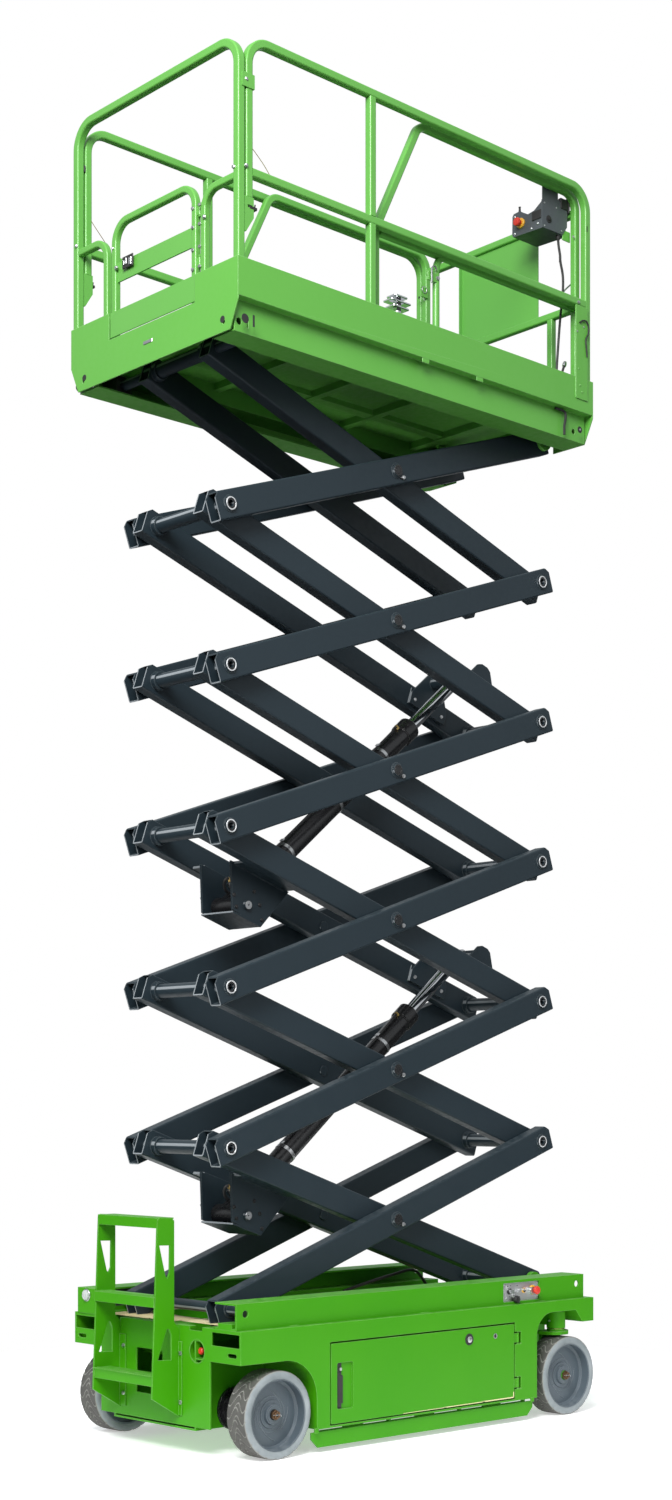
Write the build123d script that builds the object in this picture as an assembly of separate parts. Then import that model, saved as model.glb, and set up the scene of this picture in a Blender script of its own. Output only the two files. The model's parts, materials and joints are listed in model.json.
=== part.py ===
from build123d import *
from math import atan2, cos, degrees, hypot, radians, sin
import os

# Scissor lift, standing on its wheels with its scissor partly raised.
# Lengths are in millimetres. X runs from the ladder end to the steering end, Z is up, and the near side,
# with the ground controls, is at -Y. Stations along X are measured from the ladder-end plate; the whole
# machine is centred on the origin when it is written out.

# ---------------------------------------------------------------- driving dimensions
# chassis
CHASSIS_LENGTH = 2283
CHASSIS_HALF_WIDTH = 590
CHASSIS_TOP = 562
CHASSIS_BOTTOM = 112
SHEET = 8
HULL_HALF_WIDTH = 290
HULL_END = CHASSIS_LENGTH - 21
LADDER_REACH = 152
WELL_TOP = 508             # top of the hull below the scissor
LEDGE_OUT = 345            # outer edge of the ledge beside the arms
PANEL_BOTTOM = 106         # lower edge of the side sheets
LINER = 6
END_PLATE_HALF = 387
FENDER_LIP_Z = 447
STRIP_DEPTH = 36
ARM_NOTCH_TOP = 545

# wheels and steering
WHEEL_RADIUS = 190.5
WHEEL_WIDTH = 127
TYRE_INNER_RADIUS = 155
DRIVE_WHEEL_X = 213
STEER_WHEEL_X = CHASSIS_LENGTH - 183
STUB_RADIUS = 22
KINGPIN_Y = 505
KINGPIN_RADIUS = 20
KNUCKLE_PLATE_LOW = WHEEL_RADIUS * 2 + 7
KNUCKLE_PLATE = 16
BEAM_LOW, BEAM_HIGH, BEAM_HALF = 432, 492, 38
RUNNING_GAP = 0.5          # radial clearance of every pin and shaft in its bore
SEAT_GAP = 0.3             # between two parts that rest on each other

# scissor
STAGES = 6
ARM_PITCH = CHASSIS_LENGTH - 133     # end pin to end pin of one arm
REST_ANGLE = 19.0
FIXED_PIN_X = CHASSIS_LENGTH - 88
BASE_PIN_Z = 628
ARM_DEPTH = 125
ARM_WIDTH = 70
ARM_WALL = 6
ARM_CORNER = 8
ARM_END_CUT = 25
ARM_OVERHANG = 74
DECK_OVERHANG = 40         # shorter where an arm ends inside the platform frame
INNER_ARM_FACE = 180       # inside face of the inner arms, from the centre plane
ARM_GAP = 6                # between an inner and an outer arm
PIN_RADIUS = 24
PIN_HOLE_RADIUS, PIN_HOLE_DEPTH = 15, 30
RING_RADIUS = 34
SLEEVE_RADIUS = 32
COLLAR_RADIUS, COLLAR_WIDTH = 42, 26

# lift cylinders, in the frame of the inner arm that carries each end: along the arm from its centre pin
# towards its lower end, and square to it
BASE_PIN_ALONG = -710
BASE_PIN_ACROSS = -205
ROD_PIN_ALONG = 751
ROD_PIN_ACROSS = 126
BARREL_RADIUS = 50
ROD_RADIUS = 31
ROD_EYE_RADIUS = 40
EYE_HALF_WIDTH = 34
CLOSED_MARGIN = 100        # from the closed cylinder's rod eye back to the end of its barrel
CLOSED_LENGTH = 1586
SEAT_PLATE_IN, SEAT_PLATE_OUT = 100, 112
SEAT_PIN_RADIUS = 22
EAR_OUT, EAR_THICK = 175, 12

# slide tracks and blocks
TRACK_OUTER_FACE = 560
TRACK_INNER_FACE = 420
TRACK_LENGTH = CHASSIS_LENGTH - 41
TRACK_SHEET = 8
BLOCK_HALF_HEIGHT = 38
BLOCK_HALF_LENGTH = 44
BLOCK_WIDTH = 106
TRACK_TOP = BASE_PIN_Z + BLOCK_HALF_HEIGHT + 3 + TRACK_SHEET
CONTROLS_FROM, CONTROLS_TO = CHASSIS_LENGTH - 623, CHASSIS_LENGTH - 368

# openings in the fender ends and the ladder-end plate
POCKET = {"y_low": 397, "y_high": 580, "z_low": 490, "z_high": 547}
TIE_SLOT = {"y": 532, "z": 456, "half_length": 30, "radius": 9}
PULL_RECESS = {"y": -300, "z": 456, "radius": 50, "depth": 60}
CHARGER_OPENING = {"y_low": -60, "y_high": 128, "z_low": 240, "z_high": 438}

# wheel arches
DRIVE_ARCH = {"wall_x": DRIVE_WHEEL_X + 221, "crown_z": 420, "radius": 180}
STEER_ARCH = {"wall_x": STEER_WHEEL_X - 235, "crown_z": 508, "radius": 110}

# side doors, their trays and the pothole guards
DOOR_FROM, DOOR_TO = DRIVE_ARCH["wall_x"] + 84, STEER_ARCH["wall_x"] - 163
DOOR_LOW, DOOR_HIGH = 120, 472
DOOR_GAP = 7
DOOR_THICK = 12
DOOR_HINGE_X = DOOR_TO + 32
DOOR_HINGE_Y = CHASSIS_HALF_WIDTH - 8
HINGE_HEIGHTS = (190, 404)
HINGE_HALF = 22
HINGE_PIN = 5
TRAY_FROM, TRAY_TO = DOOR_FROM + 38, DOOR_TO - 12
TRAY_INNER_Y = HULL_HALF_WIDTH + 26
TRAY_LOW, TRAY_SHEET = DOOR_LOW + 2, 6
GUARD_HINGE_Y, GUARD_HINGE_Z = CHASSIS_HALF_WIDTH - 34, 90
GUARD_FROM, GUARD_TO = DRIVE_ARCH["wall_x"] - 21, STEER_ARCH["wall_x"] - 17
GUARD_EAR_X = (GUARD_FROM + 47, GUARD_FROM + 487, GUARD_TO - 488, GUARD_TO - 48)

# platform
DECK_FROM = -19
DECK_TO = CHASSIS_LENGTH - 7
DECK_HALF_WIDTH = 594
DECK_PLATE = 5
FLOOR_ABOVE_PIN = 127      # underside of the floor above the top pins
CHANNEL_OUT, CHANNEL_IN = 550, 412
TOE_SHEET, END_SHEET = 4, 6
TOE_BOARD_HEIGHT = 120
RIB_HEIGHT = 35
RIB_X = (330, 700, 1110, 1520, 2020)
RIB_HALF = 20
BEAM_RIB_Y = (170, 230)
EXTENSION_TRAVEL = 900

# guard rails: square tubes with round corners
RAIL_TOP_ABOVE_FLOOR = 1080
MID_RAIL_ABOVE_FLOOR = 495
RAIL_HALF = 19
RAIL_CORNER = 8
TUBE_WALL = 3
RAIL_BEND = 110
GATE_TUBE_HALF = 16
EXT_TUBE_HALF = 18

# ---------------------------------------------------------------- derived places
SIN, COS = sin(radians(REST_ANGLE)), cos(radians(REST_ANGLE))
STAGE_RISE = ARM_PITCH * SIN
SLIDING_PIN_X = FIXED_PIN_X - ARM_PITCH * COS
CENTRE_X = (FIXED_PIN_X + SLIDING_PIN_X) / 2
TOP_PIN_Z = BASE_PIN_Z + STAGES * STAGE_RISE
INNER_ARM_OUT = INNER_ARM_FACE + ARM_WIDTH
OUTER_ARM_IN = INNER_ARM_OUT + ARM_GAP
OUTER_ARM_OUT = OUTER_ARM_IN + ARM_WIDTH
TOP_BRACKET_IN = OUTER_ARM_OUT + 8
FLOOR_UNDER = TOP_PIN_Z + FLOOR_ABOVE_PIN
FLOOR_TOP = FLOOR_UNDER + DECK_PLATE
CHANNEL_LOW = TOP_PIN_Z - 48
TOE_LOW = TOP_PIN_Z + 87
TOE_TOP = FLOOR_TOP + TOE_BOARD_HEIGHT
CENTRE_SHIFT = -(CHASSIS_LENGTH - LADDER_REACH) / 2
WHEEL_OUTER_FACE = CHASSIS_HALF_WIDTH
WHEEL_INNER_FACE = CHASSIS_HALF_WIDTH - WHEEL_WIDTH
BARREL_LENGTH = CLOSED_LENGTH - CLOSED_MARGIN
ROD_LENGTH = CLOSED_LENGTH - 110

RAIL_Y = DECK_HALF_WIDTH - TOE_SHEET - RAIL_HALF - RUNNING_GAP
RAIL_TOP_Z = FLOOR_TOP + RAIL_TOP_ABOVE_FLOOR - RAIL_HALF
MID_RAIL_Z = FLOOR_TOP + MID_RAIL_ABOVE_FLOOR
END_RAIL_X = DECK_FROM + END_SHEET + RAIL_HALF + SEAT_GAP
POST_GAP = 7               # between an end post and the side rail's post beside it
SIDE_POST_X = (END_RAIL_X + 2 * RAIL_HALF + POST_GAP, 775, DECK_TO - 31)
SIDE_FOOT_Z = FLOOR_TOP + 385
CLAMP_Z = RAIL_TOP_Z - 190
GATE_HALF = 315
STUB_TOP_Z = FLOOR_TOP + 470
STUB_POST_Y = GATE_HALF + 32
GATE_HINGE_Y = -GATE_HALF + 4
GATE_HINGE_Z = (FLOOR_TOP + 180, FLOOR_TOP + 400)
GATE_TOE_HALF = GATE_HALF - 15

EXT_FROM, EXT_TO = 760, DECK_TO - 14
EXT_HALF = RAIL_Y - RAIL_HALF - 11
EXT_RAIL_Y = EXT_HALF - 24
EXT_FLOOR = FLOOR_TOP + 6
EXT_PLATE = 8
EXT_TOP_Z = RAIL_TOP_Z - 8
EXT_MID_Z = MID_RAIL_Z - 2
EXT_FRONT = EXT_TO - 32
EXT_END_TOP_Z = EXT_TOP_Z - 90
EXT_REAR_TOP, EXT_REAR_LOW = EXT_FROM + 370, EXT_FROM + 90
PANEL_LOW, PANEL_HIGH = EXT_MID_Z + EXT_TUBE_HALF, EXT_END_TOP_Z - EXT_TUBE_HALF
CONTROL_FROM, CONTROL_TO = EXT_FRONT - 218, EXT_FRONT - 66
CONTROL_FACE = EXT_RAIL_Y - EXT_TUBE_HALF - SEAT_GAP
CONTROL_LOW = EXT_TOP_Z - 315
CABLE_RADIUS = 6


# ---------------------------------------------------------------- drawing helpers
def outline(*points):
    """Closed flat outline through the points."""
    return make_face(Polyline(*points, close=True))


def rect(low_a, high_a, low_b, high_b, corner=0):
    """Flat rectangle between two pairs of limits, with round corners if asked."""
    size_a, size_b = high_a - low_a, high_b - low_b
    shape = RectangleRounded(size_a, size_b, corner) if corner else Rectangle(size_a, size_b)
    return Pos((low_a + high_a) / 2, (low_b + high_b) / 2) * shape


def disc(a, b, radius):
    """Flat disc about the point (a, b)."""
    return Pos(a, b) * Circle(radius)


def across(shape, y_low, y_high):
    """Extrude a side view, drawn as (x, z), across the machine from y_low to y_high."""
    return extrude(Plane((0, y_high, 0), (1, 0, 0), (0, -1, 0)) * shape, y_high - y_low)


def lengthwise(shape, x_low, x_high):
    """Extrude an end view, drawn as (y, z), along the machine from x_low to x_high."""
    return extrude(Plane((x_low, 0, 0), (0, 1, 0), (1, 0, 0)) * shape, x_high - x_low)


def upright(shape, z_low, z_high):
    """Extrude a plan view, drawn as (x, y), from z_low to z_high."""
    return extrude(Pos(0, 0, z_low) * shape, z_high - z_low)


def block(x_low, x_high, y_low, y_high, z_low, z_high):
    return upright(rect(x_low, x_high, y_low, y_high), z_low, z_high)


def cross_rod(x, z, radius, y_low, y_high):
    """Round bar across the machine."""
    return across(disc(x, z, radius), y_low, y_high)


def post(x, y, radius, z_low, z_high):
    """Round upright bar."""
    return upright(disc(x, y, radius), z_low, z_high)


def tube_section(half, wall=TUBE_WALL, corner=RAIL_CORNER):
    """Section of a square tube with round corners."""
    inner = half - wall
    return RectangleRounded(2 * half, 2 * half, corner) - RectangleRounded(2 * inner, 2 * inner, corner - wall)


def bent_tube(points, half, bend):
    """Square tube along straight runs joined by tangent bends, starting along Y or Z."""
    path = FilletPolyline(*points, radius=bend)
    return sweep(Plane(path @ 0, x_dir=(1, 0, 0), z_dir=path % 0) * tube_section(half), path=path)


def both_sides(solid):
    """The solid and its mirror image across the centre plane."""
    return solid + mirror(solid, Plane.XZ)


def fuse(*solids):
    """One shape from many."""
    whole = solids[0]
    for solid in solids[1:]:
        whole = whole + solid
    return whole


# ---------------------------------------------------------------- chassis
def drive_arch(grow=0):
    """Side view of the space over a drive wheel: a flat crown, a quarter bend and a wall."""
    wall, crown, radius = (DRIVE_ARCH[k] for k in ("wall_x", "crown_z", "radius"))
    corner_x, corner_z = wall - radius, crown - radius
    bend = disc(corner_x, corner_z, radius + grow)
    return rect(-1, corner_x, 0, crown + grow) + rect(-1, wall + grow, 0, corner_z) + bend


def steer_arch(grow=0):
    """Side view of the space over a steering wheel, with a lower lip at the very end."""
    wall, crown, radius = (STEER_ARCH[k] for k in ("wall_x", "crown_z", "radius"))
    corner_x, corner_z = wall + radius, crown - radius
    lip_from, lip_to, end = CHASSIS_LENGTH - 133, CHASSIS_LENGTH - 83, CHASSIS_LENGTH + 1
    bend = disc(corner_x, corner_z, radius + grow)
    side = rect(wall - grow, end, 0, corner_z)
    top = outline((corner_x, corner_z), (corner_x, crown + grow), (lip_from, crown + grow),
                  (lip_to, FENDER_LIP_Z + grow), (end, FENDER_LIP_Z + grow), (end, corner_z))
    return bend + side + top


def side_skin():
    """Outer side sheet with both wheel arches, the door opening and the two hinge windows."""
    sheet = rect(0, CHASSIS_LENGTH, PANEL_BOTTOM, CHASSIS_TOP)
    sheet -= drive_arch() + steer_arch()
    sheet -= rect(DOOR_FROM - DOOR_GAP, DOOR_TO + DOOR_GAP, DOOR_LOW - DOOR_GAP + 1, DOOR_HIGH + DOOR_GAP)
    for height in HINGE_HEIGHTS:
        sheet -= rect(DOOR_TO, DOOR_HINGE_X + 18, height - HINGE_HALF - 8, height + HINGE_HALF + 8)
    return across(sheet, CHASSIS_HALF_WIDTH - SHEET, CHASSIS_HALF_WIDTH)


def arch_liners():
    """Bent sheets that close both wheel arches off from the inside."""
    above_floor = rect(0, CHASSIS_LENGTH, PANEL_BOTTOM, CHASSIS_TOP)
    drive = (drive_arch(LINER) - drive_arch()) & above_floor
    steer = (steer_arch(LINER) - steer_arch()) & above_floor
    return across(drive + steer, HULL_HALF_WIDTH - 2, CHASSIS_HALF_WIDTH - SHEET + 1)


def hull_side():
    """Floor, hull wall, ledge beside the arms and upper deck of one side, as one bent section."""
    wall = rect(HULL_HALF_WIDTH - SHEET, HULL_HALF_WIDTH, CHASSIS_BOTTOM, WELL_TOP)
    floor = rect(0, HULL_HALF_WIDTH, CHASSIS_BOTTOM, CHASSIS_BOTTOM + SHEET)
    ledge = rect(HULL_HALF_WIDTH - SHEET, LEDGE_OUT, WELL_TOP - SHEET, WELL_TOP)
    riser = rect(LEDGE_OUT - SHEET, LEDGE_OUT, WELL_TOP - SHEET, CHASSIS_TOP)
    deck_sheet = rect(LEDGE_OUT - SHEET, CHASSIS_HALF_WIDTH - 1, CHASSIS_TOP - SHEET, CHASSIS_TOP)
    hull = lengthwise(wall + floor, 0, HULL_END)
    return hull + lengthwise(ledge + riser, 0, HULL_END) + lengthwise(deck_sheet, 0, CHASSIS_LENGTH)


def well_floor():
    """Sheet that closes the hull below the scissor, dropped where the lowered cylinder bracket goes."""
    low = {"x_from": 120, "x_to": 860, "half_width": 225, "z": 400, "sheet": 6}
    inside = HULL_HALF_WIDTH - SHEET + 1
    sheet = upright(rect(4, HULL_END - 4, -inside, inside), WELL_TOP - SHEET, WELL_TOP)
    hole = rect(low["x_from"], low["x_to"], -low["half_width"], low["half_width"])
    outer = rect(low["x_from"] - low["sheet"], low["x_to"] + low["sheet"],
                 -low["half_width"] - low["sheet"], low["half_width"] + low["sheet"])
    pan = upright(outer, low["z"], WELL_TOP - 1) - upright(hole, low["z"] + low["sheet"], WELL_TOP + 1)
    return sheet - upright(hole, WELL_TOP - SHEET - 1, WELL_TOP + 1) + pan


def end_plates():
    """Plates across both ends, with the pull recess, the charger opening and the arms' notches."""
    ladder_end = rect(-END_PLATE_HALF, END_PLATE_HALF, CHASSIS_BOTTOM + 16, CHASSIS_TOP)
    ladder_end -= rect(CHARGER_OPENING["y_low"], CHARGER_OPENING["y_high"],
                       CHARGER_OPENING["z_low"], CHARGER_OPENING["z_high"], 8)
    y, z, radius, depth = (PULL_RECESS[k] for k in ("y", "z", "radius", "depth"))
    ladder_end -= disc(y, z, radius)
    plate = lengthwise(ladder_end, 0, SHEET)
    plate += lengthwise(rect(-LEDGE_OUT, LEDGE_OUT, CHASSIS_TOP - 14, CHASSIS_TOP), 0, STRIP_DEPTH)
    plate += lengthwise(disc(y, z, radius + 4) - disc(y, z, radius), SHEET - 1, depth)
    plate += lengthwise(disc(y, z, radius + 4), depth - 4, depth)
    notch = rect(OUTER_ARM_IN - 8, OUTER_ARM_OUT + 8, ARM_NOTCH_TOP, CHASSIS_TOP + 1)
    plate -= both_sides(lengthwise(notch, -1, STRIP_DEPTH + 1))
    steering_end = rect(-HULL_HALF_WIDTH, HULL_HALF_WIDTH, CHASSIS_BOTTOM, WELL_TOP)
    return plate + lengthwise(steering_end, HULL_END - SHEET, HULL_END)


def fender_ends():
    """Upright end faces of the four fenders, with the forklift pocket and tie-down slot at the ladder end."""
    face = rect(END_PLATE_HALF - 2, CHASSIS_HALF_WIDTH - 1, DRIVE_ARCH["crown_z"], CHASSIS_TOP - 1)
    face -= rect(POCKET["y_low"], POCKET["y_high"], POCKET["z_low"], POCKET["z_high"])
    slot = SlotOverall(2 * TIE_SLOT["half_length"], 2 * TIE_SLOT["radius"])
    face -= Pos(TIE_SLOT["y"], TIE_SLOT["z"]) * slot
    lip = rect(LEDGE_OUT, CHASSIS_HALF_WIDTH - 1, FENDER_LIP_Z, CHASSIS_TOP - 1)
    side = lengthwise(face, 0, SHEET) + lengthwise(lip, CHASSIS_LENGTH - SHEET, CHASSIS_LENGTH)
    return both_sides(side)


def hinge_pins():
    """Upright pins of the side doors, each between an upper and a lower ear on the side sheet."""
    pins = []
    ear = rect(DOOR_HINGE_X - 8, DOOR_HINGE_X + 22, DOOR_HINGE_Y - 12, DOOR_HINGE_Y + 6)
    for height in HINGE_HEIGHTS:
        reach = HINGE_HALF + 12
        pins.append(post(DOOR_HINGE_X, DOOR_HINGE_Y, HINGE_PIN, height - reach, height + reach))
        for low in (height - HINGE_HALF - 14, height + HINGE_HALF + 4):
            pins.append(upright(ear, low, low + 10))
    return both_sides(fuse(*pins))


def guard_hangers():
    """Sill bars under the doors, whose round-ended ears hold the pothole guards' hinge rods."""
    sill = rect(CHASSIS_HALF_WIDTH - 50, CHASSIS_HALF_WIDTH - 1, PANEL_BOTTOM, PANEL_BOTTOM + 7)
    bar = lengthwise(sill, DRIVE_ARCH["wall_x"], STEER_ARCH["wall_x"])
    ear = rect(GUARD_HINGE_Y - 9, GUARD_HINGE_Y + 9, GUARD_HINGE_Z, PANEL_BOTTOM + 2)
    ear += disc(GUARD_HINGE_Y, GUARD_HINGE_Z, 9)
    for x in GUARD_EAR_X:
        bar += lengthwise(ear, x - 6, x + 6)
    bar += lengthwise(disc(GUARD_HINGE_Y, GUARD_HINGE_Z, HINGE_PIN), GUARD_EAR_X[0] - 6, GUARD_EAR_X[-1] + 6)
    return both_sides(bar)


def chassis_frame():
    frame = both_sides(hull_side()) + both_sides(side_skin()) + both_sides(arch_liners())
    return frame + well_floor() + end_plates() + fender_ends() + hinge_pins() + guard_hangers()


def steer_beams():
    """Box beams out over the steering wheels, with the kingpin bosses."""
    arm = rect(HULL_HALF_WIDTH, KINGPIN_Y, BEAM_LOW, BEAM_HIGH)
    beam = lengthwise(arm, STEER_WHEEL_X - BEAM_HALF, STEER_WHEEL_X + BEAM_HALF)
    beam += post(STEER_WHEEL_X, KINGPIN_Y, 46, BEAM_LOW - 14, BEAM_HIGH + 8)
    beam -= post(STEER_WHEEL_X, KINGPIN_Y, KINGPIN_RADIUS + RUNNING_GAP, BEAM_LOW - 40, BEAM_HIGH + 40)
    return both_sides(beam)


def pivot_brackets():
    """Plates and shaft that hold the lowest inner arms at the steering end."""
    plate = rect(FIXED_PIN_X - 60, HULL_END - 10, WELL_TOP, BASE_PIN_Z)
    plate += disc(FIXED_PIN_X, BASE_PIN_Z, 45)
    inner, outer = INNER_ARM_OUT + 8, INNER_ARM_OUT + 32
    bracket = both_sides(across(plate, inner, outer))
    return bracket + cross_rod(FIXED_PIN_X, BASE_PIN_Z, PIN_RADIUS, -outer - 10, outer + 10)


def base_tracks():
    """Channels along the top of the chassis, open inwards, in which the lower sliding pins run."""
    section = rect(TRACK_INNER_FACE, TRACK_OUTER_FACE, CHASSIS_TOP, TRACK_TOP)
    section -= rect(TRACK_INNER_FACE - 1, TRACK_OUTER_FACE - TRACK_SHEET,
                    CHASSIS_TOP + TRACK_SHEET, TRACK_TOP - TRACK_SHEET)
    wear_top = BASE_PIN_Z - BLOCK_HALF_HEIGHT - RUNNING_GAP
    section += rect(TRACK_INNER_FACE + 20, TRACK_OUTER_FACE - 30, CHASSIS_TOP, wear_top)
    track = lengthwise(section, 0, TRACK_LENGTH)
    for x in (51, TRACK_LENGTH - 51):
        track -= cross_rod(x, BASE_PIN_Z + 4, 16, TRACK_OUTER_FACE - TRACK_SHEET - 1, TRACK_OUTER_FACE + 1)
    end_plate = lengthwise(rect(TRACK_INNER_FACE, TRACK_OUTER_FACE, CHASSIS_TOP, TRACK_TOP), -6, -1)
    end_plate += lengthwise(rect(TRACK_OUTER_FACE - TRACK_SHEET, TRACK_OUTER_FACE, CHASSIS_TOP, TRACK_TOP), -2, 1)
    window = rect(CONTROLS_FROM, CONTROLS_TO, CHASSIS_TOP + 12, TRACK_TOP - 13, 6)
    return (both_sides(track) + end_plate
            - across(window, -TRACK_OUTER_FACE - 1, -TRACK_OUTER_FACE + TRACK_SHEET + 1))


def ground_controls():
    """Control plate behind the window in the near track, with the bodies of its switches."""
    face = -TRACK_OUTER_FACE + TRACK_SHEET
    low, high = CHASSIS_TOP + TRACK_SHEET + 1, TRACK_TOP - TRACK_SHEET - 1
    plate = across(rect(CONTROLS_FROM - 15, CONTROLS_TO + 15, low, high), face + SEAT_GAP, face + 4)
    middle = (low + high) / 2
    switches = [cross_rod(CONTROLS_TO - 55, middle, 17, face - 20, face + 2)]
    switches.append(cross_rod(CONTROLS_FROM + 40, middle + 18, 10, face - 8, face + 2))
    switches.append(cross_rod(CONTROLS_FROM + 85, middle - 20, 14, face - 14, face + 2))
    switches += [cross_rod(CONTROLS_FROM + x, middle + 8, 5, face - 16, face + 2) for x in (115, 140)]
    return fuse(plate, *switches)


def drive_motors():
    """Hub motors of the drive wheels: flange, motor body and wheel stub."""
    x, z = DRIVE_WHEEL_X, WHEEL_RADIUS
    flange = cross_rod(x, z, 95, HULL_HALF_WIDTH, HULL_HALF_WIDTH + 14)
    body = cross_rod(x, z, 70, HULL_HALF_WIDTH + 10, WHEEL_INNER_FACE - 30)
    neck = cross_rod(x, z, 50, WHEEL_INNER_FACE - 32, WHEEL_INNER_FACE - 8)
    stub = cross_rod(x, z, STUB_RADIUS, WHEEL_INNER_FACE - 40, WHEEL_OUTER_FACE - 28)
    return both_sides(flange + body + neck + stub)


LADDER_LOW_Y, LADDER_HIGH_Y = -180, 250
LADDER_PLATE = 8
LADDER_HEAD_X = -LADDER_REACH + 30
LADDER_TOP = 1030
STEP_RISE, STEP_DEPTH, STEP_LIP, STEP_SHEET = 340, 90, 44, 5


def ladder():
    """Two tapered side plates with cut-outs, a top bar and two steps, bolted on by flanges."""
    head, foot, top = LADDER_HEAD_X, -LADDER_REACH, LADDER_TOP
    side = outline((0, 162), (foot, 252), (head, top - 12), (head + 12, top), (-42, top - 4), (-30, top - 16),
                   (-30, 575), (0, 545))
    upper_hole = outline((-112, 910), (-54, 908), (-56, 790), (-68, 766), (-78, 776))
    lower_hole = outline((-120, 416), (-46, 412), (-46, 520), (-58, 546), (-70, 548))
    side -= upper_hole + lower_hole
    plates = across(side, LADDER_LOW_Y, LADDER_LOW_Y + LADDER_PLATE)
    plates += across(side, LADDER_HIGH_Y - LADDER_PLATE, LADDER_HIGH_Y)
    for index, x in enumerate((foot + 6, -142, head)):
        low = 304 + index * STEP_RISE
        high = low + STEP_LIP
        step = outline((x, low), (x, high), (x + STEP_DEPTH, high), (x + STEP_DEPTH, high - STEP_SHEET),
                       (x + STEP_SHEET, high - STEP_SHEET), (x + STEP_SHEET, low))
        plates += across(step, LADDER_LOW_Y + 1, LADDER_HIGH_Y - 1)
    flange = rect(LADDER_LOW_Y - 20, LADDER_LOW_Y + 4, 170, 490) + rect(LADDER_HIGH_Y - 50, LADDER_HIGH_Y, 170, 490)
    return plates + lengthwise(flange, -6, 0)


# ---------------------------------------------------------------- doors and guards
def side_door():
    """Near side door: sheet with hinge arms and a latch recess."""
    outer, inner = -CHASSIS_HALF_WIDTH, -CHASSIS_HALF_WIDTH + DOOR_THICK
    door = across(rect(DOOR_FROM, DOOR_TO, DOOR_LOW, DOOR_HIGH, 6), outer, inner)
    door -= across(rect(DOOR_FROM + 35, DOOR_FROM + 131, DOOR_LOW + 61, DOOR_HIGH - 87, 10), outer - 1, inner - 3)
    arm = rect(DOOR_TO - 30, DOOR_HINGE_X, -DOOR_HINGE_Y - 4, -DOOR_HINGE_Y + 4)
    knuckle_plan = arm + disc(DOOR_HINGE_X, -DOOR_HINGE_Y, 8)
    for height in HINGE_HEIGHTS:
        leaf = upright(knuckle_plan, height - HINGE_HALF, height + HINGE_HALF)
        bore = post(DOOR_HINGE_X, -DOOR_HINGE_Y, HINGE_PIN + RUNNING_GAP, height - 60, height + 60)
        door += leaf - bore
    return door


def tray():
    """Shelf behind the door with a turned-up edge; it swings out with the door."""
    outer = CHASSIS_HALF_WIDTH - DOOR_THICK
    top = TRAY_LOW + TRAY_SHEET
    shelf = upright(rect(TRAY_FROM, TRAY_TO, -outer, -TRAY_INNER_Y), TRAY_LOW, top)
    edge = rect(TRAY_FROM, TRAY_TO, -TRAY_INNER_Y - 4, -TRAY_INNER_Y)
    edge += rect(TRAY_FROM, TRAY_FROM + 4, -outer, -TRAY_INNER_Y)
    edge += rect(TRAY_TO - 4, TRAY_TO, -outer, -TRAY_INNER_Y)
    return shelf + upright(edge, TRAY_LOW, top + 50)


BATTERIES = 4
BATTERY_LENGTH, BATTERY_WIDTH, BATTERY_HEIGHT, BATTERY_STEP = 250, 180, 270, 260


def battery_bank():
    """Four batteries on the far tray."""
    low = TRAY_LOW + TRAY_SHEET
    inner = TRAY_INNER_Y + 14
    start = (TRAY_FROM + TRAY_TO - BATTERIES * BATTERY_STEP) / 2
    cases = []
    for index in range(BATTERIES):
        x = start + index * BATTERY_STEP
        cases.append(block(x, x + BATTERY_LENGTH, inner, inner + BATTERY_WIDTH, low, low + BATTERY_HEIGHT))
    return fuse(*cases)


def power_pack():
    """Oil tank with the pump motor and valve block on the near tray."""
    low = TRAY_LOW + TRAY_SHEET
    inner = -TRAY_INNER_Y - 14
    tank_end, motor_end = TRAY_FROM + 574, TRAY_FROM + 894
    tank = block(TRAY_FROM + 64, tank_end, inner - 230, inner, low, low + 290)
    bracket = block(tank_end - 1, tank_end + 21, inner - 170, inner - 30, low, low + 250)
    motor = lengthwise(disc(inner - 100, low + 112, 80), tank_end + 20, motor_end)
    valves = block(motor_end - 1, motor_end + 190, inner - 170, inner - 20, low, low + 200)
    return tank + bracket + motor + valves


def pothole_guard():
    """Near guard plate with chamfered ends, hung from its hinge rod by round knuckles."""
    low, high, cut = 24, GUARD_HINGE_Z + 2, 38
    face = outline((GUARD_FROM + cut, low), (GUARD_TO - cut, low), (GUARD_TO, low + cut), (GUARD_TO, high),
                   (GUARD_FROM, high), (GUARD_FROM, low + cut))
    guard = across(face, -GUARD_HINGE_Y - 20, -GUARD_HINGE_Y - 12)
    knuckle_end = rect(-GUARD_HINGE_Y - 13, -GUARD_HINGE_Y, GUARD_HINGE_Z - 6, high)
    knuckle_end += disc(-GUARD_HINGE_Y, GUARD_HINGE_Z, 9)
    knuckle_end -= disc(-GUARD_HINGE_Y, GUARD_HINGE_Z, HINGE_PIN + RUNNING_GAP)
    for x in [(a + b) / 2 for a, b in zip(GUARD_EAR_X, GUARD_EAR_X[1:])]:
        guard += lengthwise(knuckle_end, x - 60, x + 60)
    return guard


# ---------------------------------------------------------------- wheels and steering
def tyre_section():
    """Solid tyre, as (radius, depth from the outer face)."""
    outer, inner, width, shoulder = WHEEL_RADIUS, TYRE_INNER_RADIUS, WHEEL_WIDTH, 14
    return outline((inner, 3), (outer - 14, 0), (outer - 3, shoulder - 8), (outer, shoulder),
                   (outer, width - shoulder), (outer - 3, width - shoulder + 8), (outer - 14, width),
                   (inner, width - 3))


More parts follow.
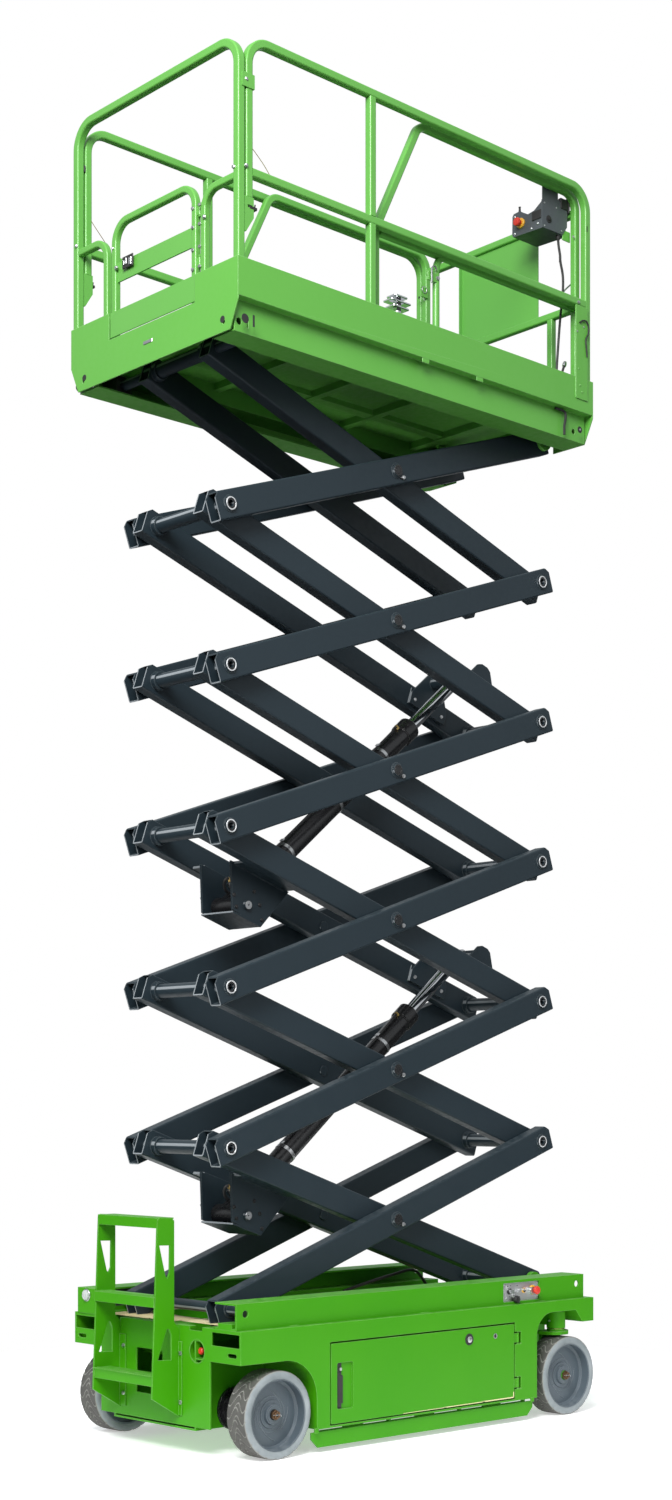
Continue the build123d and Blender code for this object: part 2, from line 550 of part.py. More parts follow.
def rim_section():
    """Deep dished rim with its hub, as (radius, depth from the outer face)."""
    bore, seat, width = STUB_RADIUS + RUNNING_GAP, TYRE_INNER_RADIUS - SEAT_GAP, WHEEL_WIDTH
    dish = [(bore, 34), (42, 34), (46, 48), (60, 48), (63, 54), (140, 55), (149, 47), (150, 4), (seat, 2)]
    back = [(seat, width - 3), (148, width - 3), (144, 72), (64, 68), (52, 84), (bore, 84)]
    return outline(*dish, *back)


def wheel_part(section, x, side):
    """Revolve a wheel section about its axle."""
    ring = revolve(Plane((0, WHEEL_OUTER_FACE, 0), (0, 0, 1), (1, 0, 0)) * section, Axis.Y)
    if side < 0:
        ring = mirror(ring, Plane.XZ)
    return Pos(x, 0, WHEEL_RADIUS) * ring


def wheel_nodes():
    nodes = {}
    for axle, x in (("drive", DRIVE_WHEEL_X), ("steer", STEER_WHEEL_X)):
        for side_name, side in (("near", -1), ("far", 1)):
            nodes[f"tyre_{axle}_{side_name}"] = wheel_part(tyre_section(), x, side)
            nodes[f"rim_{axle}_{side_name}"] = wheel_part(rim_section(), x, side)
    return nodes


def knuckle():
    """Near steering knuckle: top plate with the kingpin, inner leg and wheel stub."""
    x, z, y = STEER_WHEEL_X, WHEEL_RADIUS, KINGPIN_Y
    leg_in, leg_out = WHEEL_INNER_FACE - 30, WHEEL_INNER_FACE - 12
    low, high = KNUCKLE_PLATE_LOW, KNUCKLE_PLATE_LOW + KNUCKLE_PLATE
    leg = outline((x - 45, high), (x + 45, high), (x + 45, z), (x + 30, z - 40), (x - 30, z - 40), (x - 45, z))
    solid = across(leg, -leg_out, -leg_in)
    lobe = outline((x - 60, -leg_in), (x - 84, -y + 40), (x - 60, -y - 30), (x - 26, -y - 56), (x + 26, -y - 56),
                   (x + 70, -y - 20), (x + 116, -y + 62), (x + 96, -leg_in + 14), (x + 60, -leg_in))
    solid += upright(fillet(lobe.vertices(), 12), low, high)
    solid += post(x, -y, 44, high - 1, high + 10)
    solid += post(x, -y, KINGPIN_RADIUS, high, BEAM_HIGH + 14)
    solid += cross_rod(x, z, STUB_RADIUS, -WHEEL_OUTER_FACE + 28, -leg_in)
    return solid + cross_rod(x, z, 40, -leg_out - 4, -leg_in)


# ---------------------------------------------------------------- the six stages
def along_axis(solid, stage, rising):
    """Lay an arm, drawn flat with its centre pin at the origin, into its stage."""
    centre_z = BASE_PIN_Z + (stage - 0.5) * STAGE_RISE
    return Pos(CENTRE_X, 0, centre_z) * Rot(0, -REST_ANGLE if rising else REST_ANGLE, 0) * solid


def arm_tube(y_low, left_overhang=ARM_OVERHANG, right_overhang=ARM_OVERHANG):
    """Rectangular arm tube with open ends, whose upper corners are cut off."""
    left, right = -ARM_PITCH / 2 - left_overhang, ARM_PITCH / 2 + right_overhang
    half, cut, y_high = ARM_DEPTH / 2, ARM_END_CUT, y_low + ARM_WIDTH
    skin = rect(y_low, y_high, -half, half, ARM_CORNER)
    skin -= rect(y_low + ARM_WALL, y_high - ARM_WALL, -half + ARM_WALL, half - ARM_WALL, ARM_CORNER - ARM_WALL)
    corners = outline((left - 1, half - cut - 1), (left - 1, half + 1), (left + cut + 1, half + 1))
    corners += outline((right + 1, half - cut - 1), (right + 1, half + 1), (right - cut - 1, half + 1))
    return lengthwise(skin, left, right) - across(corners, y_low - 1, y_high + 1)


def hollow_shaft(x, reach):
    """Shaft across both arms of a pair, with a blind hole in each end."""
    hole = cross_rod(x, 0, PIN_HOLE_RADIUS, reach - PIN_HOLE_DEPTH, reach + 1)
    return cross_rod(x, 0, PIN_RADIUS, -reach, reach) - both_sides(hole)


def outer_arms(stage):
    """Pair of outer arms with the shafts through both ends and the two short centre pins."""
    half = ARM_PITCH / 2
    top = stage == STAGES
    far = arm_tube(OUTER_ARM_IN, right_overhang=DECK_OVERHANG if top else ARM_OVERHANG)
    for x in (-half, 0, half):
        far += cross_rod(x, 0, RING_RADIUS, OUTER_ARM_IN, OUTER_ARM_OUT + 5)
    far += cross_rod(0, 0, PIN_RADIUS, INNER_ARM_FACE - 6, OUTER_ARM_IN + 10)
    far += cross_rod(0, 0, PIN_RADIUS + 4, OUTER_ARM_OUT, OUTER_ARM_OUT + 12)
    pair = both_sides(far)
    for x in (-half, half):
        reach = OUTER_ARM_OUT + 9
        if stage == 1 and x < 0:
            reach = TRACK_OUTER_FACE - TRACK_SHEET - 5
        if top and x > 0:
            reach = TOP_BRACKET_IN + 20
        inside = both_sides(cross_rod(x, 0, PIN_HOLE_RADIUS, reach - PIN_HOLE_DEPTH, reach + 1))
        pair = pair + cross_rod(x, 0, PIN_RADIUS, -reach, reach) - inside
    return along_axis(pair, stage, rising=True)


def inner_arms(stage):
    """Pair of inner arms joined by a bored sleeve at each end, with the cylinder seats they carry."""
    half = ARM_PITCH / 2
    top = stage == STAGES
    far = arm_tube(INNER_ARM_FACE, left_overhang=DECK_OVERHANG if top else ARM_OVERHANG)
    for x in (-half, 0, half):
        far += cross_rod(x, 0, RING_RADIUS, INNER_ARM_FACE, INNER_ARM_OUT)
    for x in (-half, half):
        far += cross_rod(x, 0, COLLAR_RADIUS, INNER_ARM_FACE - COLLAR_WIDTH, INNER_ARM_FACE + 2)
    pair = both_sides(far)
    for x in (-half, half):
        pair += cross_rod(x, 0, SLEEVE_RADIUS, -INNER_ARM_FACE - 2, INNER_ARM_FACE + 2)
    if stage in (1, 3):
        pair += barrel_seat()
    if stage in (3, 5):
        pair += rod_seat()
    for x in (0, half) if top else (-half, 0, half):
        pair -= cross_rod(x, 0, PIN_RADIUS + RUNNING_GAP, -INNER_ARM_OUT - 10, INNER_ARM_OUT + 10)
    if top:
        pair += hollow_shaft(-half, CHANNEL_OUT - TRACK_SHEET - 5)
    return along_axis(pair, stage, rising=False)


def barrel_seat():
    """Two hanging plates with a bottom plate between them, which hold a cylinder's lower pin."""
    x, z = BASE_PIN_ALONG, BASE_PIN_ACROSS
    side = outline((x - 150, -50), (x - 70, z - 50), (x + 110, z - 62), (x + 215, -50))
    far = across(side, SEAT_PLATE_IN, SEAT_PLATE_OUT)
    far += across(rect(x - 130, x + 190, -58, -46), SEAT_PLATE_IN, INNER_ARM_FACE + 4)
    seat = both_sides(far)
    seat += across(rect(x - 66, x + 108, z - 62, z - 54), -SEAT_PLATE_OUT, SEAT_PLATE_OUT)
    return seat + cross_rod(x, z, SEAT_PIN_RADIUS, -SEAT_PLATE_OUT - 12, SEAT_PLATE_OUT + 12)


def rod_seat():
    """Ears inside the inner arms, each on a pad, with two stub pins that stop short of the rod's eye."""
    x, z = ROD_PIN_ALONG, ROD_PIN_ACROSS
    side = outline((x - 130, -40), (x - 130, 20), (x - 44, z + 34), (x - 20, z + 46), (x + 20, z + 46),
                   (x + 44, z + 34), (x + 130, 20), (x + 130, -40))
    far = across(side, EAR_OUT - EAR_THICK, EAR_OUT)
    far += across(rect(x - 130, x + 130, -40, 44), EAR_OUT - 1, INNER_ARM_FACE + 2)
    far += cross_rod(x, z, 32, EYE_HALF_WIDTH + 14, EAR_OUT)
    return both_sides(far)


def seat_point(stage, along, square):
    """Where a point of an inner arm pair lies on the centre plane, as (x, z)."""
    centre_z = BASE_PIN_Z + (stage - 0.5) * STAGE_RISE
    return CENTRE_X + along * COS + square * SIN, centre_z - along * SIN + square * COS


def cylinder_line(lower_stage):
    """Lower pin, rod pin and the length between them."""
    lower = seat_point(lower_stage, BASE_PIN_ALONG, BASE_PIN_ACROSS)
    upper = seat_point(lower_stage + 2, ROD_PIN_ALONG, ROD_PIN_ACROSS)
    return lower, upper, hypot(upper[0] - lower[0], upper[1] - lower[1])


def cylinder_frame(lower_stage, solid):
    """Place a cylinder drawn along +X from its lower pin."""
    lower, upper, _ = cylinder_line(lower_stage)
    angle = degrees(atan2(upper[1] - lower[1], upper[0] - lower[0]))
    return Pos(lower[0], 0, lower[1]) * Rot(0, -angle, 0) * solid


def spin_along_x(section):
    """Revolve a section drawn as (x, radius) about the X axis."""
    return revolve(Plane.XZ * section, Axis.X)


def barrel(lower_stage):
    """Barrel with its lower eye and gland collar, bored for the rod."""
    gland, thick = BARREL_LENGTH - 70, BARREL_RADIUS + 7
    body = outline((40, 0), (40, BARREL_RADIUS), (gland, BARREL_RADIUS), (gland, thick), (BARREL_LENGTH, thick),
                   (BARREL_LENGTH, 0))
    solid = spin_along_x(body) + cross_rod(0, 0, 46, -SEAT_PLATE_IN + 14, SEAT_PLATE_IN - 14)
    solid += across(rect(0, 60, -44, 44), -40, 40)
    solid -= spin_along_x(rect(70, BARREL_LENGTH + 1, 0, ROD_RADIUS + 1))
    solid -= cross_rod(0, 0, SEAT_PIN_RADIUS + RUNNING_GAP, -200, 200)
    return cylinder_frame(lower_stage, solid)


def rod(lower_stage):
    """Chromed rod with its upper eye."""
    length = cylinder_line(1)[2]
    shaft = spin_along_x(rect(length - ROD_LENGTH, length - 20, 0, ROD_RADIUS))
    eye = cross_rod(length, 0, ROD_EYE_RADIUS, -EYE_HALF_WIDTH, EYE_HALF_WIDTH)
    return cylinder_frame(lower_stage, shaft + eye)


def slide_blocks(x, z, web_face):
    """Level blocks on both ends of a sliding pin, in channels whose webs start at web_face."""
    low, high = web_face - 6 - BLOCK_WIDTH, web_face - 6
    face = rect(x - BLOCK_HALF_LENGTH, x + BLOCK_HALF_LENGTH, z - BLOCK_HALF_HEIGHT, z + BLOCK_HALF_HEIGHT, 6)
    slider = across(face, low, high) - cross_rod(x, z, PIN_RADIUS + RUNNING_GAP, low - 5, high + 5)
    return both_sides(slider)


# ---------------------------------------------------------------- platform
def deck():
    """Floor sheet on cross ribs and two long ribs."""
    half = DECK_HALF_WIDTH - TOE_SHEET
    floor = block(DECK_FROM + END_SHEET, DECK_TO - END_SHEET, -half, half, FLOOR_UNDER, FLOOR_TOP)
    low, high = FLOOR_UNDER - RIB_HEIGHT, FLOOR_UNDER + 1
    ribs = [block(x - RIB_HALF, x + RIB_HALF, -CHANNEL_IN, CHANNEL_IN, low, high) for x in RIB_X]
    long_rib = block(RIB_X[0], RIB_X[-1], *BEAM_RIB_Y, low + 8, high)
    return floor + fuse(*ribs) + both_sides(long_rib)


def deck_channels():
    """Edge channels, open inwards, and the plates that hold the top pins at the steering end."""
    wear = TOP_PIN_Z + BLOCK_HALF_HEIGHT + RUNNING_GAP
    section = rect(CHANNEL_OUT - TRACK_SHEET, CHANNEL_OUT, CHANNEL_LOW, FLOOR_UNDER)
    section += rect(CHANNEL_IN, CHANNEL_OUT, CHANNEL_LOW, CHANNEL_LOW + TRACK_SHEET)
    section += rect(CHANNEL_IN, CHANNEL_OUT, wear, wear + TRACK_SHEET)
    section += rect(CHANNEL_IN, CHANNEL_IN + TRACK_SHEET, wear, FLOOR_UNDER)
    channel = lengthwise(section, 0, DECK_TO - 14)
    web_in, web_out = CHANNEL_OUT - TRACK_SHEET - 1, CHANNEL_OUT + 1
    channel -= cross_rod(24, TOP_PIN_Z - 4, 15, web_in, web_out)
    channel -= across(rect(67, 76, TOP_PIN_Z - 22, TOP_PIN_Z + 16, 4), web_in, web_out)
    channel -= cross_rod(FIXED_PIN_X - 15, TOP_PIN_Z - 2, 13, web_in, web_out)
    ledge = rect(CHANNEL_OUT - 2, DECK_HALF_WIDTH - TOE_SHEET, TOE_LOW, TOE_LOW + 5)
    channel += lengthwise(ledge, DECK_FROM + END_SHEET, DECK_TO - END_SHEET)
    plate = rect(FIXED_PIN_X - 55, FIXED_PIN_X + 55, TOP_PIN_Z, FLOOR_UNDER)
    plate += disc(FIXED_PIN_X, TOP_PIN_Z, 45)
    ear = across(plate, TOP_BRACKET_IN, TOP_BRACKET_IN + 18)
    ear += block(FIXED_PIN_X - 55, FIXED_PIN_X + 55, TOP_BRACKET_IN, CHANNEL_IN + 2, TOE_LOW, TOE_LOW + 12)
    ear -= cross_rod(FIXED_PIN_X, TOP_PIN_Z, PIN_RADIUS + RUNNING_GAP, 200, 500)
    return both_sides(channel + ear)


def toe_boards():
    """Upstands round the deck, with the deep end plates and the upright plates at the front corners."""
    high, low_edge, knee = DECK_HALF_WIDTH, CHANNEL_LOW + 3, TOE_LOW - 15
    boards = lengthwise(rect(high - TOE_SHEET, high, TOE_LOW, TOE_TOP), DECK_FROM, DECK_TO)
    opening = GATE_TOE_HALF + 5
    end = outline((0, low_edge), (540, low_edge), (high, knee), (high, TOE_TOP), (opening, TOE_TOP),
                  (opening, FLOOR_TOP), (0, FLOOR_TOP))
    end -= disc(500, TOP_PIN_Z - 4, 9)
    boards += lengthwise(end, DECK_FROM, DECK_FROM + END_SHEET)
    arms_clear = OUTER_ARM_OUT + 12
    far_end = outline((0, FLOOR_UNDER - 20), (arms_clear, FLOOR_UNDER - 20), (arms_clear, low_edge),
                      (540, low_edge), (high, knee), (high, TOE_TOP), (high - 40, TOE_TOP),
                      (high - 40, FLOOR_TOP), (0, FLOOR_TOP))
    boards += lengthwise(far_end, DECK_TO - END_SHEET, DECK_TO)
    plate = rect(DECK_TO - 134, DECK_TO - 46, FLOOR_TOP + 14, MID_RAIL_Z - 24, 5)
    boards += across(plate, high - 1, high + 5)
    return both_sides(boards)


def side_rail():
    """Far guard rail: one bent tube for the posts and the top, a middle post and a middle rail. Its rear
    post is shorter and stands on a bracket of the end post."""
    first, middle, last = SIDE_POST_X
    foot = FLOOR_TOP + SEAT_GAP
    hoop = bent_tube([(first, RAIL_Y, SIDE_FOOT_Z + SEAT_GAP), (first, RAIL_Y, RAIL_TOP_Z),
                      (last, RAIL_Y, RAIL_TOP_Z), (last, RAIL_Y, foot)], RAIL_HALF, RAIL_BEND)
    inner = RAIL_HALF - TUBE_WALL / 2
    rail = lengthwise(Pos(RAIL_Y, MID_RAIL_Z) * tube_section(RAIL_HALF), first + inner, last - inner)
    lower = upright(Pos(middle, RAIL_Y) * tube_section(RAIL_HALF), foot, MID_RAIL_Z - inner)
    upper = upright(Pos(middle, RAIL_Y) * tube_section(RAIL_HALF), MID_RAIL_Z + inner, RAIL_TOP_Z - inner)
    return hoop + rail + lower + upper


def end_rail():
    """Rail across the ladder end with a low arch on each side of the gate, and the brackets and clamps
    that hold the side rails' rear posts."""
    foot = FLOOR_TOP + SEAT_GAP
    top = RAIL_TOP_Z - 8
    hoop = bent_tube([(END_RAIL_X, -RAIL_Y, foot), (END_RAIL_X, -RAIL_Y, top), (END_RAIL_X, RAIL_Y, top),
                      (END_RAIL_X, RAIL_Y, foot)], RAIL_HALF, RAIL_BEND)
    stub = bent_tube([(END_RAIL_X, RAIL_Y - RAIL_HALF + 2, STUB_TOP_Z), (END_RAIL_X, STUB_POST_Y, STUB_TOP_Z),
                      (END_RAIL_X, STUB_POST_Y, foot)], GATE_TUBE_HALF, 80)
    outer = RAIL_Y + RAIL_HALF
    near_x, far_x = END_RAIL_X + RAIL_HALF, SIDE_POST_X[0] + RAIL_HALF
    bracket = across(outline((near_x - 1, SIDE_FOOT_Z - 150), (near_x + 6, SIDE_FOOT_Z - 150),
                             (far_x + 3, SIDE_FOOT_Z - 85), (far_x + 3, SIDE_FOOT_Z), (near_x - 1, SIDE_FOOT_Z)),
                     RAIL_Y - RAIL_HALF + 1, outer - 1)
    bracket -= across(rect(near_x + 14, far_x - 4, SIDE_FOOT_Z - 46, SIDE_FOOT_Z - 34), outer - 8, outer + 1)
    clamp = block(near_x - 20, far_x + 4, outer + SEAT_GAP, outer + 4, CLAMP_Z - 30, CLAMP_Z + 30)
    clamp += block(near_x - 20, near_x - 9, outer - 2, outer + 4, CLAMP_Z - 30, CLAMP_Z + 30)
    clamp += block(far_x + SEAT_GAP, far_x + 4, RAIL_Y, outer + 4, CLAMP_Z - 30, CLAMP_Z + 30)
    return hoop + both_sides(stub + bracket + clamp) + gate_pins()


def gate_pins():
    """Hinge pins of the gate on the near stub post, each between two round-ended ears."""
    ear = rect(END_RAIL_X - 7, END_RAIL_X + 7, -STUB_POST_Y + GATE_TUBE_HALF - 2, GATE_HINGE_Y)
    ear += disc(END_RAIL_X, GATE_HINGE_Y, 7)
    pins = []
    for z in GATE_HINGE_Z:
        pins.append(post(END_RAIL_X, GATE_HINGE_Y, HINGE_PIN, z - 26, z + 26))
        for low in (z - 28, z + 19):
            pins.append(upright(ear, low, low + 9))
    return fuse(*pins)


def gate():
    """Entry gate: an arch with a toe plate, a kick plate and hinge arms on its near post."""
    foot, top, half = FLOOR_TOP + 8, FLOOR_TOP + 520, GATE_HALF - 30
    arch = bent_tube([(END_RAIL_X, -half, foot), (END_RAIL_X, -half, top), (END_RAIL_X, half, top),
                      (END_RAIL_X, half, foot)], GATE_TUBE_HALF, 90)
    face = END_RAIL_X - GATE_TUBE_HALF
    toe = lengthwise(rect(-GATE_TOE_HALF, GATE_TOE_HALF, foot, TOE_TOP), face - 5, face + 1)
    plate = lengthwise(rect(-half, half, FLOOR_TOP + 255, FLOOR_TOP + 341), END_RAIL_X - 4, END_RAIL_X + 4)
    frame = arch + toe + plate
    leaf = rect(END_RAIL_X - 6, END_RAIL_X + 6, GATE_HINGE_Y, -half - GATE_TUBE_HALF + 2)
    leaf += disc(END_RAIL_X, GATE_HINGE_Y, 8)
    for z in GATE_HINGE_Z:
        frame += upright(leaf, z - 18, z + 18) - post(END_RAIL_X, GATE_HINGE_Y, HINGE_PIN + RUNNING_GAP, z - 30, z + 30)
    return frame


# ---------------------------------------------------------------- extension deck
def extension_deck():
    """Sliding floor on wear strips, with its own toe boards at the sides and the end."""
    plate = upright(rect(EXT_FROM, EXT_TO, -EXT_HALF, EXT_HALF), EXT_FLOOR, EXT_FLOOR + EXT_PLATE)
    strip = block(EXT_FROM, EXT_TO - 10, 440, 500, FLOOR_TOP + RUNNING_GAP, EXT_FLOOR + 1)
    side = lengthwise(rect(EXT_HALF - TOE_SHEET, EXT_HALF, EXT_FLOOR, EXT_FLOOR + 100), EXT_FROM + 60, EXT_TO)
    end = lengthwise(rect(-EXT_HALF, EXT_HALF, EXT_FLOOR, EXT_FLOOR + 112), EXT_TO - 5, EXT_TO)
    return plate + both_sides(strip + side) + end


def extension_side():
    """Far rail of the extension: a hoop with a slanted rear leg, a middle rail and a second post."""
    foot = EXT_FLOOR + EXT_PLATE
    inner = EXT_TUBE_HALF - TUBE_WALL / 2
    hoop = bent_tube([(EXT_FRONT, EXT_RAIL_Y, foot), (EXT_FRONT, EXT_RAIL_Y, EXT_TOP_Z),
                      (EXT_REAR_TOP, EXT_RAIL_Y, EXT_TOP_Z), (EXT_REAR_LOW, EXT_RAIL_Y, EXT_MID_Z),
                      (EXT_REAR_LOW, EXT_RAIL_Y, foot)], EXT_TUBE_HALF, 80)
    rail = lengthwise(Pos(EXT_RAIL_Y, EXT_MID_Z) * tube_section(EXT_TUBE_HALF), EXT_REAR_LOW + inner + 8,
                      EXT_FRONT - inner)
    return hoop + rail


def extension_rails():
    """Both side rails and the rail across the steering end."""
    inner = EXT_TUBE_HALF - TUBE_WALL / 2
    reach = EXT_RAIL_Y - inner
    rails = both_sides(extension_side())
    for z in (EXT_END_TOP_Z, EXT_MID_Z):
        rails += across(Pos(EXT_FRONT, z) * tube_section(EXT_TUBE_HALF), -reach, reach)
    inner_post = Pos(EXT_FRONT, -EXT_RAIL_Y + 154) * tube_section(EXT_TUBE_HALF)
    return rails + upright(inner_post, EXT_FLOOR + EXT_PLATE, EXT_MID_Z - inner)


def extension_panel():
    """Sheet with a folded edge that fills the middle of the steering-end rail."""
    low, high = PANEL_LOW + SEAT_GAP, PANEL_HIGH - SEAT_GAP
    sheet = lengthwise(rect(-275, 256, low, high), EXT_FRONT - 3, EXT_FRONT + 3)
    return sheet + lengthwise(rect(250, 256, low, high), EXT_FRONT - 22, EXT_FRONT)


def control_box():
    """Platform control box: a wedge on a plate that hooks over the near rail of the extension."""
    face = -CONTROL_FACE
    low = CONTROL_LOW
    wedge = outline((face + 5, low), (-295, low + 116), (-300, low + 190), (-362, low + 236), (face + 5, low + 236))
    solid = lengthwise(wedge, CONTROL_FROM, CONTROL_TO)
    plate = outline((CONTROL_FROM, low), (CONTROL_TO, low + 18), (CONTROL_TO + 28, low + 110),
                    (CONTROL_TO + 28, low + 236), (CONTROL_FROM + 112, low + 270), (CONTROL_FROM + 112, EXT_TOP_Z + 22),
                    (CONTROL_FROM, EXT_TOP_Z + 22))
    solid += across(plate, face, face + 6)
    hook = block(CONTROL_FROM, CONTROL_FROM + 112, -EXT_RAIL_Y - 12, face + 1,
                 EXT_TOP_Z + EXT_TUBE_HALF + SEAT_GAP, EXT_TOP_Z + 22)
    socket = across(disc(CONTROL_FROM + 60, low + 150, 17), face - 1, face + 1)
    handle = block(CONTROL_TO + 26, CONTROL_TO + 42, face, face + 6, low + 150, low + 222)
    return solid + hook + socket + handle


def control_cable():
    """Black cable from the control box down the inside of the near rail to the extension's toe board."""
    y = -EXT_RAIL_Y + EXT_TUBE_HALF + CABLE_RADIUS + SEAT_GAP
    low = EXT_FLOOR + EXT_PLATE + 1
    path = Spline((CONTROL_TO - 18, y, CONTROL_LOW - SEAT_GAP), (CONTROL_TO - 2, y, CONTROL_LOW - 70),
                  (CONTROL_TO - 8, y, EXT_MID_Z), (CONTROL_TO - 30, y, EXT_MID_Z - 180),
                  (CONTROL_TO - 44, y + 4, low + 90), (CONTROL_TO - 44, y + 4, low),
                  tangents=[(0, 0, -1), (0, 0, -1)])
    return sweep(Plane(path @ 0, z_dir=path % 0) * Circle(CABLE_RADIUS), path=path)


# ---------------------------------------------------------------- nodes
def all_nodes():
    nodes = {
        "chassis_frame": chassis_frame(),
        "pivot_brackets": pivot_brackets(),
        "base_tracks": base_tracks(),
        "steer_beams": steer_beams(),
        "drive_motors": drive_motors(),
        "ladder": ladder(),
        "ground_controls": ground_controls(),
        "door_near": side_door(),
        "door_far": mirror(side_door(), Plane.XZ),
        "tray_near": tray(),
        "tray_far": mirror(tray(), Plane.XZ),
        "power_pack": power_pack(),
        "battery_bank": battery_bank(),
        "guard_near": pothole_guard(),
        "guard_far": mirror(pothole_guard(), Plane.XZ),
        "knuckle_near": knuckle(),
        "knuckle_far": mirror(knuckle(), Plane.XZ),
        "base_slide_blocks": slide_blocks(SLIDING_PIN_X, BASE_PIN_Z, TRACK_OUTER_FACE - TRACK_SHEET),
        "top_slide_blocks": slide_blocks(SLIDING_PIN_X, TOP_PIN_Z, CHANNEL_OUT - TRACK_SHEET),
        "deck": deck(),
        "deck_channels": deck_channels(),
        "toe_boards": toe_boards(),
        "side_rail_far": side_rail(),
        "side_rail_near": mirror(side_rail(), Plane.XZ),
        "end_rail": end_rail(),
        "gate": gate(),
        "extension_deck": extension_deck(),
        "extension_rails": extension_rails(),
        "extension_panel": extension_panel(),
        "control_box": control_box(),
        "control_cable": control_cable(),
    }
    nodes.update(wheel_nodes())
    for stage in range(1, STAGES + 1):
        nodes[f"outer_arms_{stage}"] = outer_arms(stage)
        nodes[f"inner_arms_{stage}"] = inner_arms(stage)
    for name, stage in (("lower", 1), ("upper", 3)):
        nodes[f"barrel_{name}"] = barrel(stage)
        nodes[f"rod_{name}"] = rod(stage)
    return nodes


os.makedirs("parts", exist_ok=True)
for node_name, node_shape in all_nodes().items():
    export_step(Pos(CENTRE_SHIFT, 0, 0) * node_shape, f"parts/{node_name}.step")
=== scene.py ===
# %% [markdown]
# # A raised electric scissor lift
# The machine stands on four grey solid tyres, with its folding arms half way up and its railed
# platform on top. The solid model already holds every tube, plate, pin and wheel at its real place,
# as a frame of named bodies. This lesson keeps those shapes, gives each one its finish, and adds the
# fittings that are too small or too soft for the solid model: treads, bolts, welds, switches, locks.

# %% Load the frame and measure it
import json
from functools import partial
from math import cos, pi, radians, sin

import bmesh
import bpy
from mathutils import Matrix, Vector


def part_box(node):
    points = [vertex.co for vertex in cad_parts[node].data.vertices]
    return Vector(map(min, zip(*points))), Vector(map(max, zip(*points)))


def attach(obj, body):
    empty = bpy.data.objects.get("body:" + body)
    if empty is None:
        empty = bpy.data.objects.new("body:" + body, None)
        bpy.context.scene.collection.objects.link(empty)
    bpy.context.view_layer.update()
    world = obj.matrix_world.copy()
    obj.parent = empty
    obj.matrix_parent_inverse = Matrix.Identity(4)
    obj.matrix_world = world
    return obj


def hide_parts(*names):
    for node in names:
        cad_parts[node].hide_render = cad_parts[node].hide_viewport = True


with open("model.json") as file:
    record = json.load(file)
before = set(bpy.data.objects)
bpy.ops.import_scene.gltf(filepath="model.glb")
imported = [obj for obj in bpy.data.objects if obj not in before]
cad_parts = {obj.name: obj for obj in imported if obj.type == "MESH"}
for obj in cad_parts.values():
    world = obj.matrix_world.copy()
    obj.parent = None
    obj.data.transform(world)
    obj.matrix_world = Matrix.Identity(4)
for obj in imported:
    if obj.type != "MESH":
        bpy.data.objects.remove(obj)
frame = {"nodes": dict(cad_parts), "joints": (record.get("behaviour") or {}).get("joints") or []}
NODES = frame["nodes"]
JOINTS = {joint["name"]: joint for joint in frame["joints"]}
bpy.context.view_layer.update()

# %% [markdown]
# ## Stations
# A fitter measures along a machine from one end. Here every length runs from the plate that carries
# the ladder, so a fitting is placed with the numbers on a drawing, whatever the origin is.

# %% Stations along the machine
PLATE_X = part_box("chassis_frame")[0].x
FLOOR_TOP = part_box("deck")[1].z
SIDES = (("near", -1), ("far", 1))
NEAR_SIDE, END, UP = Vector((0, -1, 0)), Vector((-1, 0, 0)), Vector((0, 0, 1))


def at(x, y, z):
    """A point in metres: x from the ladder-end plate, y from the centre plane, z from the ground."""
    return Vector((PLATE_X + x, y, z))


print("ladder-end plate at", round(PLATE_X, 4), "platform floor at", round(FLOOR_TOP, 3))

# %% [markdown]
# ## Camera
# A tall machine looks upright only if the camera looks level: a tilted camera makes the posts lean.
# So the camera stands at eye height, looks level, and the lens is shifted upwards, as on a view
# camera, until the top rail is in the frame.

# %% Level camera with a shifted lens
EYE, TURN = at(-5.683, -7.284, 1.545), -0.7494
SENSOR_MM, LENS_MM, LENS_SHIFT = 36, 50.15, 0.2321
scene = bpy.context.scene
camera_data = bpy.data.cameras.new("camera")
camera_data.sensor_width = SENSOR_MM
camera_data.lens = LENS_MM
camera_data.shift_y = LENS_SHIFT
camera = bpy.data.objects.new("camera", camera_data)
camera.location = EYE
camera.rotation_euler = (pi / 2, 0, TURN)
scene.collection.objects.link(camera)
scene.camera = camera
scene.view_settings.view_transform = "Standard"
print("camera", round((EYE - at(1.1, 0, 1.5)).length, 2), "m from the machine")

# %% [markdown]
# ## Nodes in few words
# Both the sky and the finishes are graphs of nodes. The class below adds a node and feeds its inputs
# in one call, so that a graph reads from its source to its end.

# %% A short way to add nodes
class Nodes:
    """A tree of nodes under construction."""

    def __init__(self, tree):
        self.tree = tree

    def add(self, kind, feeds=None, **settings):
        """A node with its settings and inputs, each a number, a colour or another node's output."""
        node = self.tree.nodes.new(kind)
        for key, value in settings.items():
            setattr(node, key, value)
        for key, value in (feeds or {}).items():
            self.feed(node.inputs[key], value)
        return node

    def feed(self, socket, value):
        """Link an output to the socket, or set the socket to a value."""
        if isinstance(value, bpy.types.NodeSocket):
            self.tree.links.new(value, socket)
        else:
            socket.default_value = value


def colour(red, green, blue):
    """A colour for a socket."""
    return (red, green, blue, 1)


print("white is", colour(1, 1, 1))

# %% [markdown]
# ## Light
# Daylight under a thin cloud comes from above, and a little more from one side. The upper half of
# the world gives the first, and a large soft lamp high up beside the camera gives the second. Little
# light comes from below, so that the underside of the platform stays dark, as it does outdoors. The
# camera itself sees plain white behind the machine.

